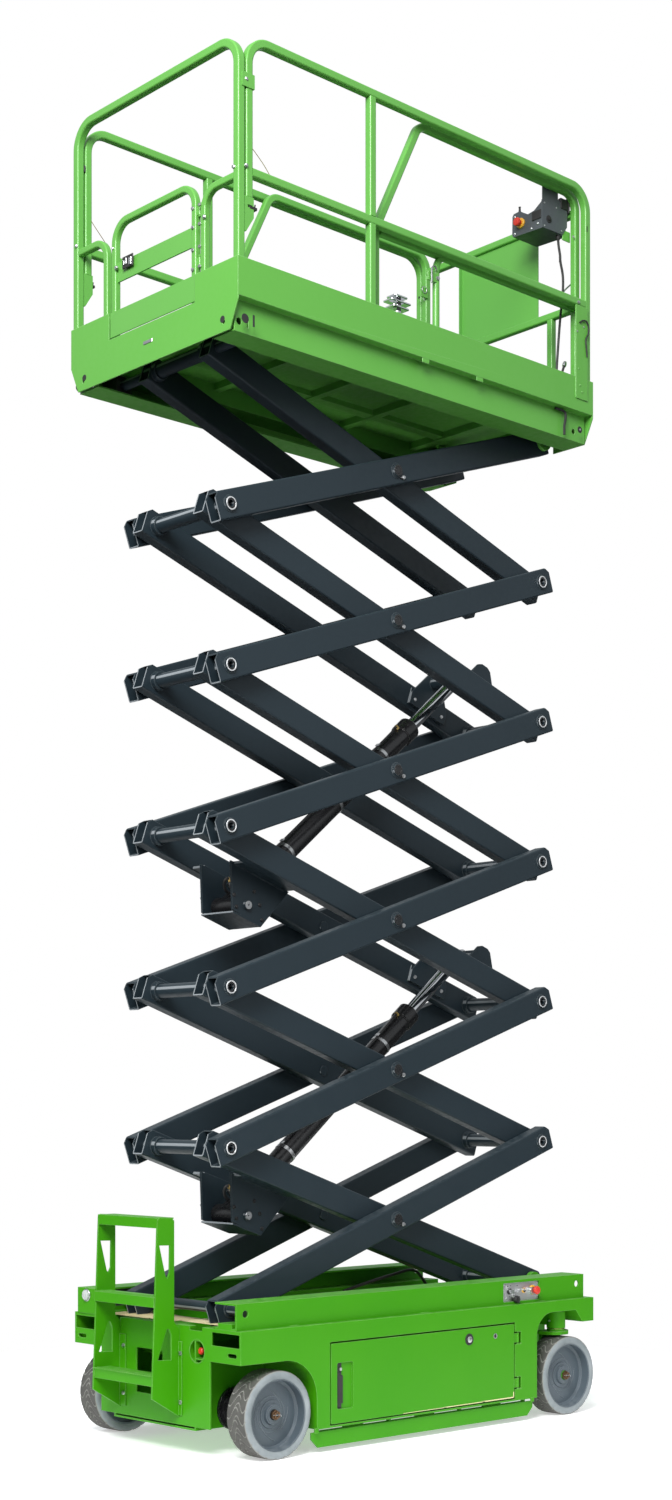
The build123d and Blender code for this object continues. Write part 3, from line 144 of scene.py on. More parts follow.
# %% World
GROUND_LIGHT, SKY_LIGHT = 0.06, 0.62
HORIZON_LOW, HORIZON_HIGH = -0.15, 0.20
scene.world = bpy.data.worlds.new("white_sky")
scene.world.use_nodes = True
scene.world.node_tree.nodes.clear()
sky = Nodes(scene.world.node_tree)
ray = sky.add("ShaderNodeLightPath").outputs
seen = sky.add("ShaderNodeMath", {0: ray["Is Camera Ray"], 1: ray["Is Transmission Ray"]},
               operation="MAXIMUM")
direction = sky.add("ShaderNodeSeparateXYZ", {0: sky.add("ShaderNodeTexCoord").outputs["Generated"]})
dome = sky.add("ShaderNodeMapRange", {"Value": direction.outputs["Z"], "From Min": HORIZON_LOW,
                                      "From Max": HORIZON_HIGH, "To Min": GROUND_LIGHT, "To Max": SKY_LIGHT})
lit = sky.add("ShaderNodeBackground", {"Color": colour(0.93, 0.97, 1.0), "Strength": dome.outputs[0]})
shown = sky.add("ShaderNodeBackground", {"Color": colour(1, 1, 1), "Strength": 1.0})
choice = sky.add("ShaderNodeMixShader", {0: seen.outputs[0], 1: lit.outputs[0], 2: shown.outputs[0]})
sky.add("ShaderNodeOutputWorld", {0: choice.outputs[0]})
print("sky from", GROUND_LIGHT, "below to", SKY_LIGHT, "above")


# %% Lamps
def lamp(name, place, target, size, power):
    """Square soft lamp that faces a target."""
    data = bpy.data.lights.new(name, "AREA")
    data.size = size
    data.energy = power
    piece = bpy.data.objects.new(name, data)
    piece.location = place
    piece.rotation_euler = (target - place).to_track_quat("-Z", "Y").to_euler()
    scene.collection.objects.link(piece)
    print(name, power, "W")


lamp("high_lamp", at(-6.5, -5.0, 9.0), at(1.1, 0, 3.8), 5.0, 1650)
lamp("low_lamp", at(1.5, -9.0, 3.5), at(1.1, 0, 2.8), 4.0, 90)

# %% [markdown]
# ## Finishes
# Every finish is a small graph of nodes, so it needs no picture files. Paint on sheet steel is never
# one flat colour: it has a fine orange peel, it is a little duller where it was handled, and dust
# settles on what faces up. A number that is the same all over goes straight into the shader's own
# socket.

# %% A short way to write a finish
class Finish(Nodes):
    """A material under construction."""

    def __init__(self, name, tone, roughness, metallic=0.0):
        self.material = bpy.data.materials.new(name)
        self.material.use_nodes = True
        super().__init__(self.material.node_tree)
        self.shader = self.tree.nodes["Principled BSDF"]
        self.set(Base_Color=tone, Roughness=roughness, Metallic=metallic)
        self.coordinates = self.add("ShaderNodeTexCoord").outputs
        self.place = self.coordinates["Object"]

    def noise(self, scale, detail=3.0, stretch=(1, 1, 1)):
        """Soft cloudy pattern from 0 to 1, fixed to the piece."""
        spread = self.add("ShaderNodeMapping", {"Vector": self.place, "Scale": stretch}).outputs[0]
        feeds = {"Vector": spread, "Scale": scale, "Detail": detail}
        return self.add("ShaderNodeTexNoise", feeds).outputs["Fac"]

    def spread(self, value, low, high, out_low=0.0, out_high=1.0):
        """Stretch the part of a pattern between low and high over a new range."""
        return self.add("ShaderNodeMapRange", {"Value": value, "From Min": low, "From Max": high,
                                               "To Min": out_low, "To Max": out_high}).outputs[0]

    def math(self, operation, first, second=0.0):
        """One sum on two numbers."""
        return self.add("ShaderNodeMath", {0: first, 1: second}, operation=operation).outputs[0]

    def dot(self, first, second):
        """How much two directions agree, from -1 to 1."""
        node = self.add("ShaderNodeVectorMath", {0: first, 1: second}, operation="DOT_PRODUCT")
        return node.outputs["Value"]

    def mix(self, factor, first, second):
        """Blend of two colours."""
        return self.add("ShaderNodeMix", {0: factor, 6: first, 7: second}, data_type="RGBA").outputs[2]

    def facing(self, direction):
        """How much the surface faces a direction that is fixed to the piece."""
        return self.dot(self.coordinates["Normal"], direction)

    def bump(self, height, distance, strength=1.0, **normal):
        """Small relief, on top of a normal if one is given."""
        feeds = {"Height": height, "Distance": distance, "Strength": strength, **normal}
        return self.add("ShaderNodeBump", feeds).outputs[0]

    def set(self, **sockets):
        """Feed the shader's sockets, with _ for a space in their names."""
        for key, value in sockets.items():
            self.feed(self.shader.inputs[key.replace("_", " ")], value)
        return self.material


print("a finish has", ", ".join(name for name in vars(Finish) if not name.startswith("_")))

# %% [markdown]
# ### Painted steel
# The machine has two paints: a bright green on the chassis and platform, and a dark slate on the
# arms. The platform and its rails get a paler copy of the green, as painted light. Both paints are made
# by one function. A Bevel node softens the look of each sharp edge, as paint does when it rounds over
# one, and the same node shows where the edges are, so that they can be painted paler as a painted
# highlight. The faces of the cut ends are tinted a paler grey, told by the way that they face.

# %% Paint
TILT = radians(19.0)
EDGE_RADIUS = 0.003
CUT_END_GREY = colour(0.33, 0.36, 0.38)


def paint(name, main, faded, dust_and_edge_light, roughness, ends=None, edges=True, coat=0.1, shine=0.5):
    """Sprayed paint with soft edges painted paler as a highlight, slight fading, and dust on what faces up.
    """
    f = Finish(name, main, roughness)
    cloud = f.spread(f.noise(1.7, 2.0), 0.3, 0.7)
    grain = f.spread(f.noise(38.0, 4.0) if edges else f.noise(4.0, 1.0), 0.35, 0.65)
    base = f.mix(f.math("MULTIPLY", cloud, 0.5), main, faded)
    if edges:
        runs = f.noise(9.0, 3.0, (6, 6, 0.5))
        base = f.mix(f.spread(runs, 0.55, 0.8, 0, 0.16), base, faded)
    up = f.spread(f.facing((0, 0, 1)), 0.6, 1.0)
    settled = f.math("MULTIPLY", f.math("MULTIPLY", up, grain), 0.3)
    base = f.mix(settled, base, dust_and_edge_light)
    if edges:
        soft = f.add("ShaderNodeBevel", {"Radius": EDGE_RADIUS}, samples=4).outputs[0]
        # Edges are painted paler in the dust colour: a painted highlight along each edge.
        edge_highlight_mask = f.dot(soft, f.add("ShaderNodeNewGeometry").outputs["Normal"])
        patches = f.spread(f.noise(7.0), 0.4, 0.7, 0.35, 0.75)
        base = f.mix(f.math("MULTIPLY", f.spread(edge_highlight_mask, 0.995, 0.9), patches), base, dust_and_edge_light)
        f.set(Normal=f.bump(f.noise(260.0, 2.0), 0.0004, 0.12, Normal=soft))
    # The faces of the cut ends are tinted a paler grey.
    if ends is not None:
        cut = f.math("ABSOLUTE", f.facing(ends))
        base = f.mix(f.spread(cut, 0.97, 0.99, 0, 0.75), base, CUT_END_GREY)
    gloss = f.math("ADD", f.spread(grain, 0, 1, roughness - 0.05, roughness + 0.07),
                   f.math("MULTIPLY", settled, 0.5))
    return f.set(Base_Color=base, Roughness=gloss, Coat_Weight=coat, Coat_Roughness=0.12,
                 Specular_IOR_Level=shine)


print("paint rounds each edge over", EDGE_RADIUS * 1000, "mm")

# %% The paints of the machine
# Pale green for the platform's dust and for the painted highlight on its edges.
DECK_DUST_AND_EDGE_LIGHT = colour(0.42, 0.66, 0.34)
GREEN = paint("machine_green", colour(0.042, 0.275, 0.002), colour(0.060, 0.310, 0.005),
              colour(0.34, 0.62, 0.22), 0.40, coat=0.0, shine=0.20)
# The deck and rail greens are paler copies of the chassis green: painted light, for the stronger light on the
# platform.
DECK_GREEN_LIT = paint("deck_green", colour(0.100, 0.365, 0.045), colour(0.120, 0.390, 0.060), DECK_DUST_AND_EDGE_LIGHT, 0.40)
TUBE_GREEN_LIT = paint("tube_green", colour(0.105, 0.360, 0.055), colour(0.130, 0.390, 0.070), DECK_DUST_AND_EDGE_LIGHT, 0.34,
                   edges=False)
slate = partial(paint, main=colour(0.0150, 0.0255, 0.0330), faded=colour(0.019, 0.031, 0.040),
                dust_and_edge_light=colour(0.120, 0.145, 0.155), roughness=0.42, coat=0.0, shine=0.30)
SLATE = slate("arm_slate")
SLATE_RISING = slate("arm_slate_rising", ends=(cos(TILT), 0, sin(TILT)))
SLATE_FALLING = slate("arm_slate_falling", ends=(cos(TILT), 0, -sin(TILT)))
BLACK_PAINT = paint("cylinder_black", colour(0.008, 0.008, 0.009), colour(0.016, 0.016, 0.017),
                    colour(0.05, 0.05, 0.05), 0.26)
RIM_PAINT = paint("rim_grey", colour(0.062, 0.083, 0.100), colour(0.135, 0.170, 0.198),
                  colour(0.32, 0.35, 0.37), 0.42, coat=0.0)
print("paints:", *(made.name for made in (GREEN, DECK_GREEN_LIT, TUBE_GREEN_LIT, SLATE, BLACK_PAINT, RIM_PAINT)))

# %% [markdown]
# ### Metals, rubber and plastic
# Chrome on a cylinder's rod is smooth, with faint rings from grinding. Turned and plated steel is
# duller. Solid rubber is mottled grey with a fine grain, and plastic housings have a sandy texture.

# %% Metals
def metal(name, tone, roughness, mark_scale=60.0, stretch=(1, 1, 1)):
    """Bare or plated metal whose roughness changes along fine marks."""
    f = Finish(name, tone, roughness, 1.0)
    marks = f.noise(mark_scale, 4.0, stretch)
    tarnish = f.spread(f.noise(14.0), 0.4, 0.75, 0, 0.35)
    base = f.mix(tarnish, tone, colour(tone[0] * 0.6, tone[1] * 0.58, tone[2] * 0.55))
    gloss = f.spread(marks, 0.3, 0.7, roughness * 0.7, roughness * 1.4)
    return f.set(Base_Color=base, Roughness=gloss, Normal=f.bump(marks, 0.0002, 0.15))


STEEL = metal("steel", colour(0.56, 0.57, 0.58), 0.32)
PIN_STEEL = metal("pin_steel", colour(0.90, 0.91, 0.92), 0.55)
CHROME = metal("chrome", colour(0.80, 0.81, 0.83), 0.08, 30.0)
BRASS = metal("brass", colour(0.60, 0.42, 0.15), 0.30)
BRONZE = metal("bronze", colour(0.20, 0.12, 0.07), 0.42)
PANEL_METAL = metal("panel_silver", colour(0.66, 0.67, 0.67), 0.38, 40.0, (0.5, 1, 14))
print("metals:", *(made.name for made in (STEEL, PIN_STEEL, CHROME, BRASS, BRONZE, PANEL_METAL)))


# %% Rubber and plastic
def soft_goods(name, tone, worn_tone, roughness, grain_scale, grain_depth):
    """Rubber or moulded plastic: mottled, matt, with a fine skin."""
    f = Finish(name, colour(*tone), roughness)
    cloud = f.spread(f.noise(5.0), 0.35, 0.7)
    base = f.mix(f.math("MULTIPLY", cloud, 0.6), colour(*tone), colour(*worn_tone))
    gloss = f.spread(f.noise(22.0), 0.3, 0.7, roughness - 0.08, roughness + 0.08)
    skin = f.bump(f.noise(grain_scale, 2.0), grain_depth, 0.35)
    return f.set(Base_Color=base, Roughness=gloss, Normal=skin)


TYRE = soft_goods("tyre", (0.25, 0.265, 0.27), (0.34, 0.35, 0.345), 0.72, 420.0, 0.0006)
BLACK_RUBBER = soft_goods("black_rubber", (0.012, 0.012, 0.012), (0.03, 0.03, 0.03), 0.6, 500.0, 0.0004)
BLOCK_PLASTIC = soft_goods("block_plastic", (0.03, 0.03, 0.032), (0.05, 0.05, 0.05), 0.5, 300.0, 0.0004)
CONTROL_PLASTIC = soft_goods("control_plastic", (0.058, 0.068, 0.078), (0.085, 0.095, 0.1), 0.48, 600.0,
                             0.0005)
BATTERY_GREY = soft_goods("battery_grey", (0.06, 0.06, 0.065), (0.09, 0.09, 0.09), 0.5, 300.0, 0.0004)
RED_PLASTIC = soft_goods("red_plastic", (0.62, 0.028, 0.016), (0.70, 0.07, 0.04), 0.34, 300.0, 0.0001)
YELLOW_PLASTIC = soft_goods("yellow_plastic", (0.80, 0.40, 0.02), (0.84, 0.48, 0.08), 0.38, 300.0, 0.0001)
WEAR_STRIP = soft_goods("wear_strip", (0.72, 0.60, 0.32), (0.80, 0.72, 0.48), 0.55, 200.0, 0.0003)
LAMP_GREY = soft_goods("lamp_grey", (0.42, 0.45, 0.44), (0.55, 0.58, 0.56), 0.3, 200.0, 0.0002)
print("rubber and plastic:", *(made.name for made in (TYRE, BLACK_RUBBER, BLOCK_PLASTIC, CONTROL_PLASTIC,
                                                      BATTERY_GREY, RED_PLASTIC, YELLOW_PLASTIC)))

# %% [markdown]
# ## Paint the solid model
# A solid's own mesh is right, so it only gets its finish, through its material slots. The rising
# and the falling arms differ in the way that their cut ends face.

# %% Finish of each solid, by the start of its name
FINISH_OF = {
    "outer_arms": SLATE_RISING, "inner_arms": SLATE_FALLING, "tyre": TYRE, "rim": RIM_PAINT,
    "rod_": CHROME, "barrel": BLACK_PAINT, "drive_motors": BLACK_PAINT, "power_pack": BLACK_PAINT,
    "battery_bank": BATTERY_GREY, "base_slide_blocks": BLOCK_PLASTIC, "top_slide_blocks": BLOCK_PLASTIC,
    "ground_controls": PANEL_METAL, "control_box": CONTROL_PLASTIC, "control_cable": BLACK_RUBBER,
    "deck": DECK_GREEN_LIT, "toe_boards": DECK_GREEN_LIT, "extension_deck": DECK_GREEN_LIT,
    "side_rail": TUBE_GREEN_LIT, "end_rail": TUBE_GREEN_LIT, "gate": TUBE_GREEN_LIT,
    "extension_rails": TUBE_GREEN_LIT, "extension_panel": TUBE_GREEN_LIT,
}
for name, node in NODES.items():
    finish = next((finish for start, finish in FINISH_OF.items() if name.startswith(start)), GREEN)
    for slot in node.material_slots:
        slot.material = finish
    if not node.material_slots:
        node.data.materials.append(finish)
print("painted", len(NODES), "solids")

# %% [markdown]
# ## Tools for small parts
# Small parts come from few processes: turning, bending a bar or hose, cutting plate, welding. Each
# has one function here. A part is added to the lot of its body and its finish, and each lot becomes
# one mesh at the end, so that hundreds of bolts cost a handful of pieces.

# %% Lots and turned parts
LOTS = {}


def keys(body, *finishes):
    """The keys of one body's lots in several finishes."""
    return [(body, finish) for finish in finishes]


def lot(key):
    """The growing mesh for one (body, finish)."""
    body, finish = key
    return LOTS.setdefault((body, finish.name), (bmesh.new(), finish))[0]


def mm(*numbers):
    """Millimetres two by two, as pairs in metres, such as the radius and reach of a profile."""
    return [(a / 1000, b / 1000) for a, b in zip(numbers[::2], numbers[1::2])]


def square_to(axis):
    """The unit axis and two directions square to it."""
    axis = Vector(axis).normalized()
    hint = UP if abs(axis.z) < 0.9 else -END
    first = (hint - axis * hint.dot(axis)).normalized()
    return axis, first, axis.cross(first)


def hoop(mesh, centre, first, second, radius, sides, turn=0.0):
    """Corners of a mesh round a circle."""
    angles = [turn + 2 * pi * step / sides for step in range(sides)]
    return [mesh.verts.new(centre + (first * cos(a) + second * sin(a)) * radius) for a in angles]


def skin(mesh, rings, capped=True):
    """Faces along a row of rings, with a cap at each end or joined back to the first ring."""
    for low, high in zip(rings, rings[1:] if capped else rings[1:] + rings[:1]):
        for index in range(len(low)):
            after = (index + 1) % len(low)
            mesh.faces.new((low[index], low[after], high[after], high[index]))
    if capped:
        mesh.faces.new(rings[0][::-1])
        mesh.faces.new(rings[-1])


def lathe(key, profile, origin, axis, sides=20, turn=0.0, capped=True):
    """Turn a profile, a list of (radius, distance along the axis)."""
    mesh = lot(key)
    axis, first, second = square_to(axis)
    skin(mesh, [hoop(mesh, Vector(origin) + axis * reach, first, second, radius, sides, turn)
                for radius, reach in profile], capped)


def ring(key, inner, outer, thick, origin, axis, sides=28, soft=0.0006):
    """Flat ring with chamfered edges."""
    section = [(inner, 0), (outer, 0), (outer, thick - soft), (outer - soft, thick), (inner + soft, thick),
               (inner, thick - soft)]
    lathe(key, section, origin, axis, sides, capped=False)


print("a profile 12 mm out and 3 mm along is", mm(12, 3))

# %% Bars, hoses and weld beads along a line
def smooth_path(points, steps):
    """Points on a smooth line through all the points given."""
    points = [Vector(point) for point in points]
    if len(points) == 2:
        return points
    padded = [points[0] * 2 - points[1], *points, points[-1] * 2 - points[-2]]
    line = []
    for before, start, end, after in zip(padded, padded[1:], padded[2:], padded[3:]):
        for t in (step / steps for step in range(steps)):
            line.append(0.5 * (2 * start + (end - before) * t
                               + (2 * before - 5 * start + 4 * end - after) * t * t
                               + (3 * start - before - 3 * end + after) * t ** 3))
    return line + [points[-1]]


def sweep(key, points, radius, sides=10, steps=8, ripple=0.0):
    """Round bar, hose or weld bead along a smooth line, with a rippled surface if asked."""
    mesh = lot(key)
    line = smooth_path(points, steps)
    first = square_to(line[1] - line[0])[1]
    rings = []
    for index, point in enumerate(line):
        tangent = (line[min(index + 1, len(line) - 1)] - line[max(index - 1, 0)]).normalized()
        first = (first - tangent * first.dot(tangent)).normalized()
        size = radius * (1 + ripple * (index % 2))
        rings.append(hoop(mesh, point, first, tangent.cross(first), size, sides))
    skin(mesh, rings)


def weld(key, points, radius=0.0028):
    """Bead of weld, which shows the ripples of its pool."""
    points = [Vector(point) for point in points]
    for start, end in zip(points, points[1:]):
        count = max(int((end - start).length / (1.3 * radius)), 2)
        sweep(key, [start.lerp(end, step / count) for step in range(count + 1)], radius, 6, 1, 0.22)


def circle(centre, axis, radius, count=28):
    """Points round a circle and back to the first."""
    axis, first, second = square_to(axis)
    angles = [2 * pi * step / count for step in range(count + 1)]
    return [Vector(centre) + (first * cos(a) + second * sin(a)) * radius for a in angles]


def route(side, *points):
    """Stations given for the far side, and mirrored for the near side, which is -1."""
    return [at(x, side * y, z) for x, y, z in points]


print("a bend through 3 points has", len(smooth_path((END, UP, -END), 8)), "points")

# %% Plates, blocks and bolts
def slab(key, low, high, soft=0.0012, place=None):
    """Block between two corners with chamfered edges, moved by a matrix if one is given."""
    mesh = lot(key)
    corners = Vector(low), Vector(high)
    points = []
    for corner in range(8):
        pick = [(corner >> axis) & 1 for axis in range(3)]
        for flat in range(3):
            point = Vector([corners[pick[axis]][axis] for axis in range(3)])
            for axis in range(3):
                if axis != flat:
                    point[axis] += soft * (-1 if pick[axis] else 1)
            points.append(mesh.verts.new(place @ point if place else point))
    bmesh.ops.convex_hull(mesh, input=points)


def brick(key, place, low, high, soft):
    """Slab whose corners lie so many millimetres from a place."""
    slab(key, place + Vector(low) / 1000, place + Vector(high) / 1000, soft / 1000)


def patch(key, x, z, y, half, soft=0.0008):
    """Thin slab on a side of the machine: x and z are (low, high), and half is half its thickness."""
    slab(key, at(x[0], y - half, z[0]), at(x[1], y + half, z[1]), soft)


def plate(key, outline, axis, low, high):
    """Flat plate with an outline in the two directions other than its axis, from low to high along it."""
    mesh = lot(key)
    others = [direction for direction in range(3) if direction != axis]
    rings = []
    for depth in (low, high):
        rings.append([])
        for a, b in outline:
            point = Vector()
            point[axis], point[others[0]], point[others[1]] = depth, a, b
            rings[-1].append(mesh.verts.new(point))
    skin(mesh, rings)


def bolt(key, place, axis, size=0.005, washer=True):
    """Hexagon bolt head with a washer; size is the radius of its thread."""
    start = 0.0
    if washer:
        lathe(key, [(2.1 * size, 0), (2.1 * size, 0.3 * size), (1.95 * size, 0.4 * size)], place, axis, 16)
        start = 0.4 * size
    head = [(1.8 * size, start), (1.8 * size, start + 0.95 * size), (1.5 * size, start + 1.2 * size)]
    lathe(key, head, place, axis, 6, size * 900)


def cap_screw(key, place, axis, size=0.003):
    """Low round head of a small screw."""
    lathe(key, [(1.9 * size, 0), (1.8 * size, 0.5 * size), (1.1 * size, 0.95 * size)], place, axis, 12)


print("tools for", ", ".join(tool.__name__ for tool in (slab, brick, patch, plate, bolt, cap_screw)))

# %% From a mesh to a piece that moves with its body
def to_piece(mesh, name, finish, body, sharp_angle, place=(0, 0, 0)):
    """Turn a mesh into an object that rides on a body, smooth but for its sharp edges."""
    bmesh.ops.recalc_face_normals(mesh, faces=mesh.faces)
    data = bpy.data.meshes.new(name)
    mesh.to_mesh(data)
    mesh.free()
    data.materials.append(finish)
    data.shade_smooth()
    data.set_sharp_from_angle(angle=radians(sharp_angle))
    piece = bpy.data.objects.new(name, data)
    piece.location = place
    scene.collection.objects.link(piece)
    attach(piece, body)
    return piece


# %% [markdown]
# ## Tyres
# A solid tyre of this kind is moulded from grey rubber, which leaves no black marks on a floor. Its
# tread is a band of curved grooves that start as notches in the shoulders. A groove is made here as
# a dip in the radius, and dust in the grooves shows as a paler grey, told by the distance from the
# axle. The tread is painted darker as painted shade and the side walls paler as painted light, on
# one rubber, told by the distance along the axle.

# %% Tyre rubber
WHEEL_RADIUS, WHEEL_WIDTH = 0.1905, 0.127
WHEEL_FACE = 0.590
DRIVE_X, STEER_X = 0.213, 2.100
GROOVE_GREY = colour(0.30, 0.30, 0.275)


def tyre_rubber():
    """Dark brown-grey tread as painted shade, paler grooves, and side walls painted a lighter blue-grey as
    painted light.
    """
    f = Finish("tyre", colour(0.2, 0.2, 0.2), 0.75)
    parts = f.add("ShaderNodeSeparateXYZ", {0: f.place}).outputs
    squares = [f.math("MULTIPLY", parts[axis], parts[axis]) for axis in "XZ"]
    radius = f.math("SQRT", f.math("ADD", *squares))
    cloud = f.spread(f.noise(16.0, 4.0), 0.35, 0.7)
    # The tread is painted darker and the side walls paler: painted shade and painted light on one rubber.
    tread = f.mix(cloud, colour(0.055, 0.053, 0.049), colour(0.100, 0.098, 0.090))
    tread = f.mix(f.spread(radius, 0.1893, 0.1878, 0, 0.75), tread, GROOVE_GREY)
    lit_wall_paint = f.mix(f.spread(f.noise(9.0), 0.3, 0.7), colour(0.185, 0.215, 0.225), colour(0.30, 0.33, 0.345))
    on_wall = f.spread(f.math("ABSOLUTE", parts["Y"]), 0.0570, 0.0595)
    return f.set(Base_Color=f.mix(on_wall, tread, lit_wall_paint), Roughness=f.spread(cloud, 0, 1, 0.66, 0.82),
                 Normal=f.bump(f.noise(380.0, 2.0), 0.0006, 0.35))


TYRE_RUBBER = tyre_rubber()
print("tyres", 2 * WHEEL_RADIUS, "m across and", WHEEL_WIDTH, "m wide")

# %% Treaded tyres
TREAD_BLOCKS, TREAD_LINES, TYRE_STEPS = 22, 26, 704
GROOVE_DEPTH, GROOVE_HALF = 0.0042, 0.0021
GROOVE_BANDS = ((0.0, 0.62, 0.0), (0.38, 1.0, 0.5))  # from and to across the tread, and shift in blocks
FADE = 0.02
TREAD_FROM, CROWN_DROP, SHOULDER = 0.0085, 0.0011, 0.014
SIDE_WALL = mm(3, 155.2, 1.2, 160, 0.2, 168, 0.4, 176.5, 2.2, 181.5, 6, 187.2)


def tread_dip(turn, depth):
    """How far the tread lies below its full radius: curved grooves from both shoulders to the middle."""
    pitch = 2 * pi / TREAD_BLOCKS
    share = depth / WHEEL_WIDTH
    dip = 0.0
    for start, end, shift in GROOVE_BANDS:
        if not start - FADE <= share <= end + FADE:
            continue
        local = (share - start) / (end - start)
        bend = 0.42 * sin(2 * pi * local) * pitch * (-1 if shift else 1) + 0.25 * local * pitch
        offset = (turn - bend - shift * pitch) % pitch
        gap = min(offset, pitch - offset) * WHEEL_RADIUS
        tip = min(1.0, (end + FADE - share) / 0.05, (share - start + FADE) / 0.05)
        dip = max(dip, GROOVE_DEPTH * max(tip, 0) * min(1.0, max(0.0, 2.0 - gap / GROOVE_HALF)))
    return dip


def tyre(body, node, x, side):
    """Ring of quads about the axle, with the tread dips."""
    tread = [TREAD_FROM + (WHEEL_WIDTH - 2 * TREAD_FROM) * line / TREAD_LINES
             for line in range(TREAD_LINES + 1)]
    crown = [(depth, WHEEL_RADIUS - CROWN_DROP * (1 - min(1, min(depth, WHEEL_WIDTH - depth) / SHOULDER)))
             for depth in tread]
    profile = SIDE_WALL + crown + [(WHEEL_WIDTH - depth, radius) for depth, radius in reversed(SIDE_WALL)]
    mesh = bmesh.new()
    rings = []
    for turn in (2 * pi * step / TYRE_STEPS for step in range(TYRE_STEPS)):
        rings.append([])
        for depth, radius in profile:
            if radius > 0.180:
                radius -= tread_dip(turn, depth)
            place = (radius * cos(turn), side * (WHEEL_WIDTH / 2 - depth), radius * sin(turn))
            rings[-1].append(mesh.verts.new(place))
    skin(mesh, rings, capped=False)
    piece = to_piece(mesh, f"{body}_tread", TYRE_RUBBER, body, 50,
                     at(x, side * (WHEEL_FACE - WHEEL_WIDTH / 2), WHEEL_RADIUS))
    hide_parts(node)


WHEELS = [(axle, x, *place) for axle, x in (("drive", DRIVE_X), ("steer", STEER_X)) for place in SIDES]
for axle, x, side_name, side in WHEELS:
    tyre(f"{axle}_wheel_{side_name}", f"tyre_{axle}_{side_name}", x, side)
print(TREAD_BLOCKS, "grooves on each shoulder of", len(WHEELS), "tyres")

# %% [markdown]
# ## Hubs
# The wheel is held on its stub by a castle nut: slots in its crown take a split pin, so that it
# can't turn loose. The pressed disc of the rim has a swirl of shallow ribs, which stiffen it.

# %% Ribs, castle nuts and split pins
HUB_DEPTH, DISC_DEPTH = 0.034, 0.055
RIB_STEPS = 8
RIBS = [(0.066, 0.112, 0.35, 1.75), (0.088, 0.098, 2.3, 3.7),  # inner and outer radius, two angles
        (0.070, 0.118, 3.5, 4.9), (0.090, 0.100, 5.35, 6.5)]
SPLIT_PIN = ((-21, 0, 2), (0, 0, 0), (22, 0, -1), (25, 0, -8))
for axle, x, side_name, side in WHEELS:
    rim, nut, steel, rubber = keys(f"{axle}_wheel_{side_name}", RIM_PAINT, BRONZE, STEEL, BLACK_RUBBER)
    out = Vector((0, side, 0))
    hub = at(x, side * (WHEEL_FACE - HUB_DEPTH), WHEEL_RADIUS)
    disc = at(x, side * (WHEEL_FACE - DISC_DEPTH), WHEEL_RADIUS)
    for low, high, start, end in RIBS:
        swirl = []
        for share in (step / RIB_STEPS for step in range(RIB_STEPS + 1)):
            radius = low + (high - low) * share * share
            turn = start + (end - start) * share
            swirl.append(disc + Vector((radius * cos(turn) * -side, 0, radius * sin(turn))))
        sweep(rim, swirl, 0.0026, 6, 5)
    ring(rim, 0.076, 0.081, 0.0022, disc, out, 48)
    ring(rim, 0.0235, 0.036, 0.003, hub, out, 30)
    lathe(nut, mm(22.5, 3, 22.5, 16, 20, 18), hub, out, 6)
    for turn in (pi / 6 + step * pi / 3 for step in range(6)):
        crown_slot = hub + Vector((cos(turn), 0, sin(turn))) * 0.0125
        lathe(nut, mm(5.8, 18, 5.6, 24.5), crown_slot, out, 8)
    lathe(rubber, mm(8.5, 16, 8.5, 20, 7, 21.5), hub, out, 14)
    sweep(steel, [hub + out * 0.021 + Vector(bend) / 1000 for bend in SPLIT_PIN], 0.0016, 6, 3)
print(len(WHEELS), "hubs with", len(RIBS), "ribs each")

# %% [markdown]
# ## Pins of the folding arms
# Each joint of the arms turns on a hollow hardened pin, whose turned end shines in a welded boss. The
# centre pins have a flat cover instead. A small keeper bolted beside a centre pin stops it from
# turning with the arm, so that the wear stays in the bush.

# %% Pin ends, keepers and covers
STAGES = 6
LOW_Z = JOINTS["lift"]["pos_m"][2]
RISE = (JOINTS["platform_pin"]["pos_m"][2] - LOW_Z) / STAGES
CENTRE_X = JOINTS["centre_pin_1"]["pos_m"][0] - PLATE_X
HALF_ARM = (JOINTS["lift"]["pos_m"][0] - PLATE_X - CENTRE_X) / cos(TILT)
ARM_OUT, INNER_FACE = 0.326, 0.180
PIN_BORE, PIN_RADIUS, BOSS_WELD = 0.0235, 0.0288, 0.0355
COLLAR_BORE, COLLAR_RADIUS, COLLAR_WELD = 0.0322, 0.0405, 0.0435


def on_arm(stage, rising, along, y, across_arm):
    """A point of an arm: along it from its centre pin towards the steering end, and square to it."""
    turn = TILT if rising else -TILT
    centre_z = LOW_Z + (stage - 0.5) * RISE
    return at(CENTRE_X + along * cos(turn) - across_arm * sin(turn), y,
              centre_z + along * sin(turn) + across_arm * cos(turn))


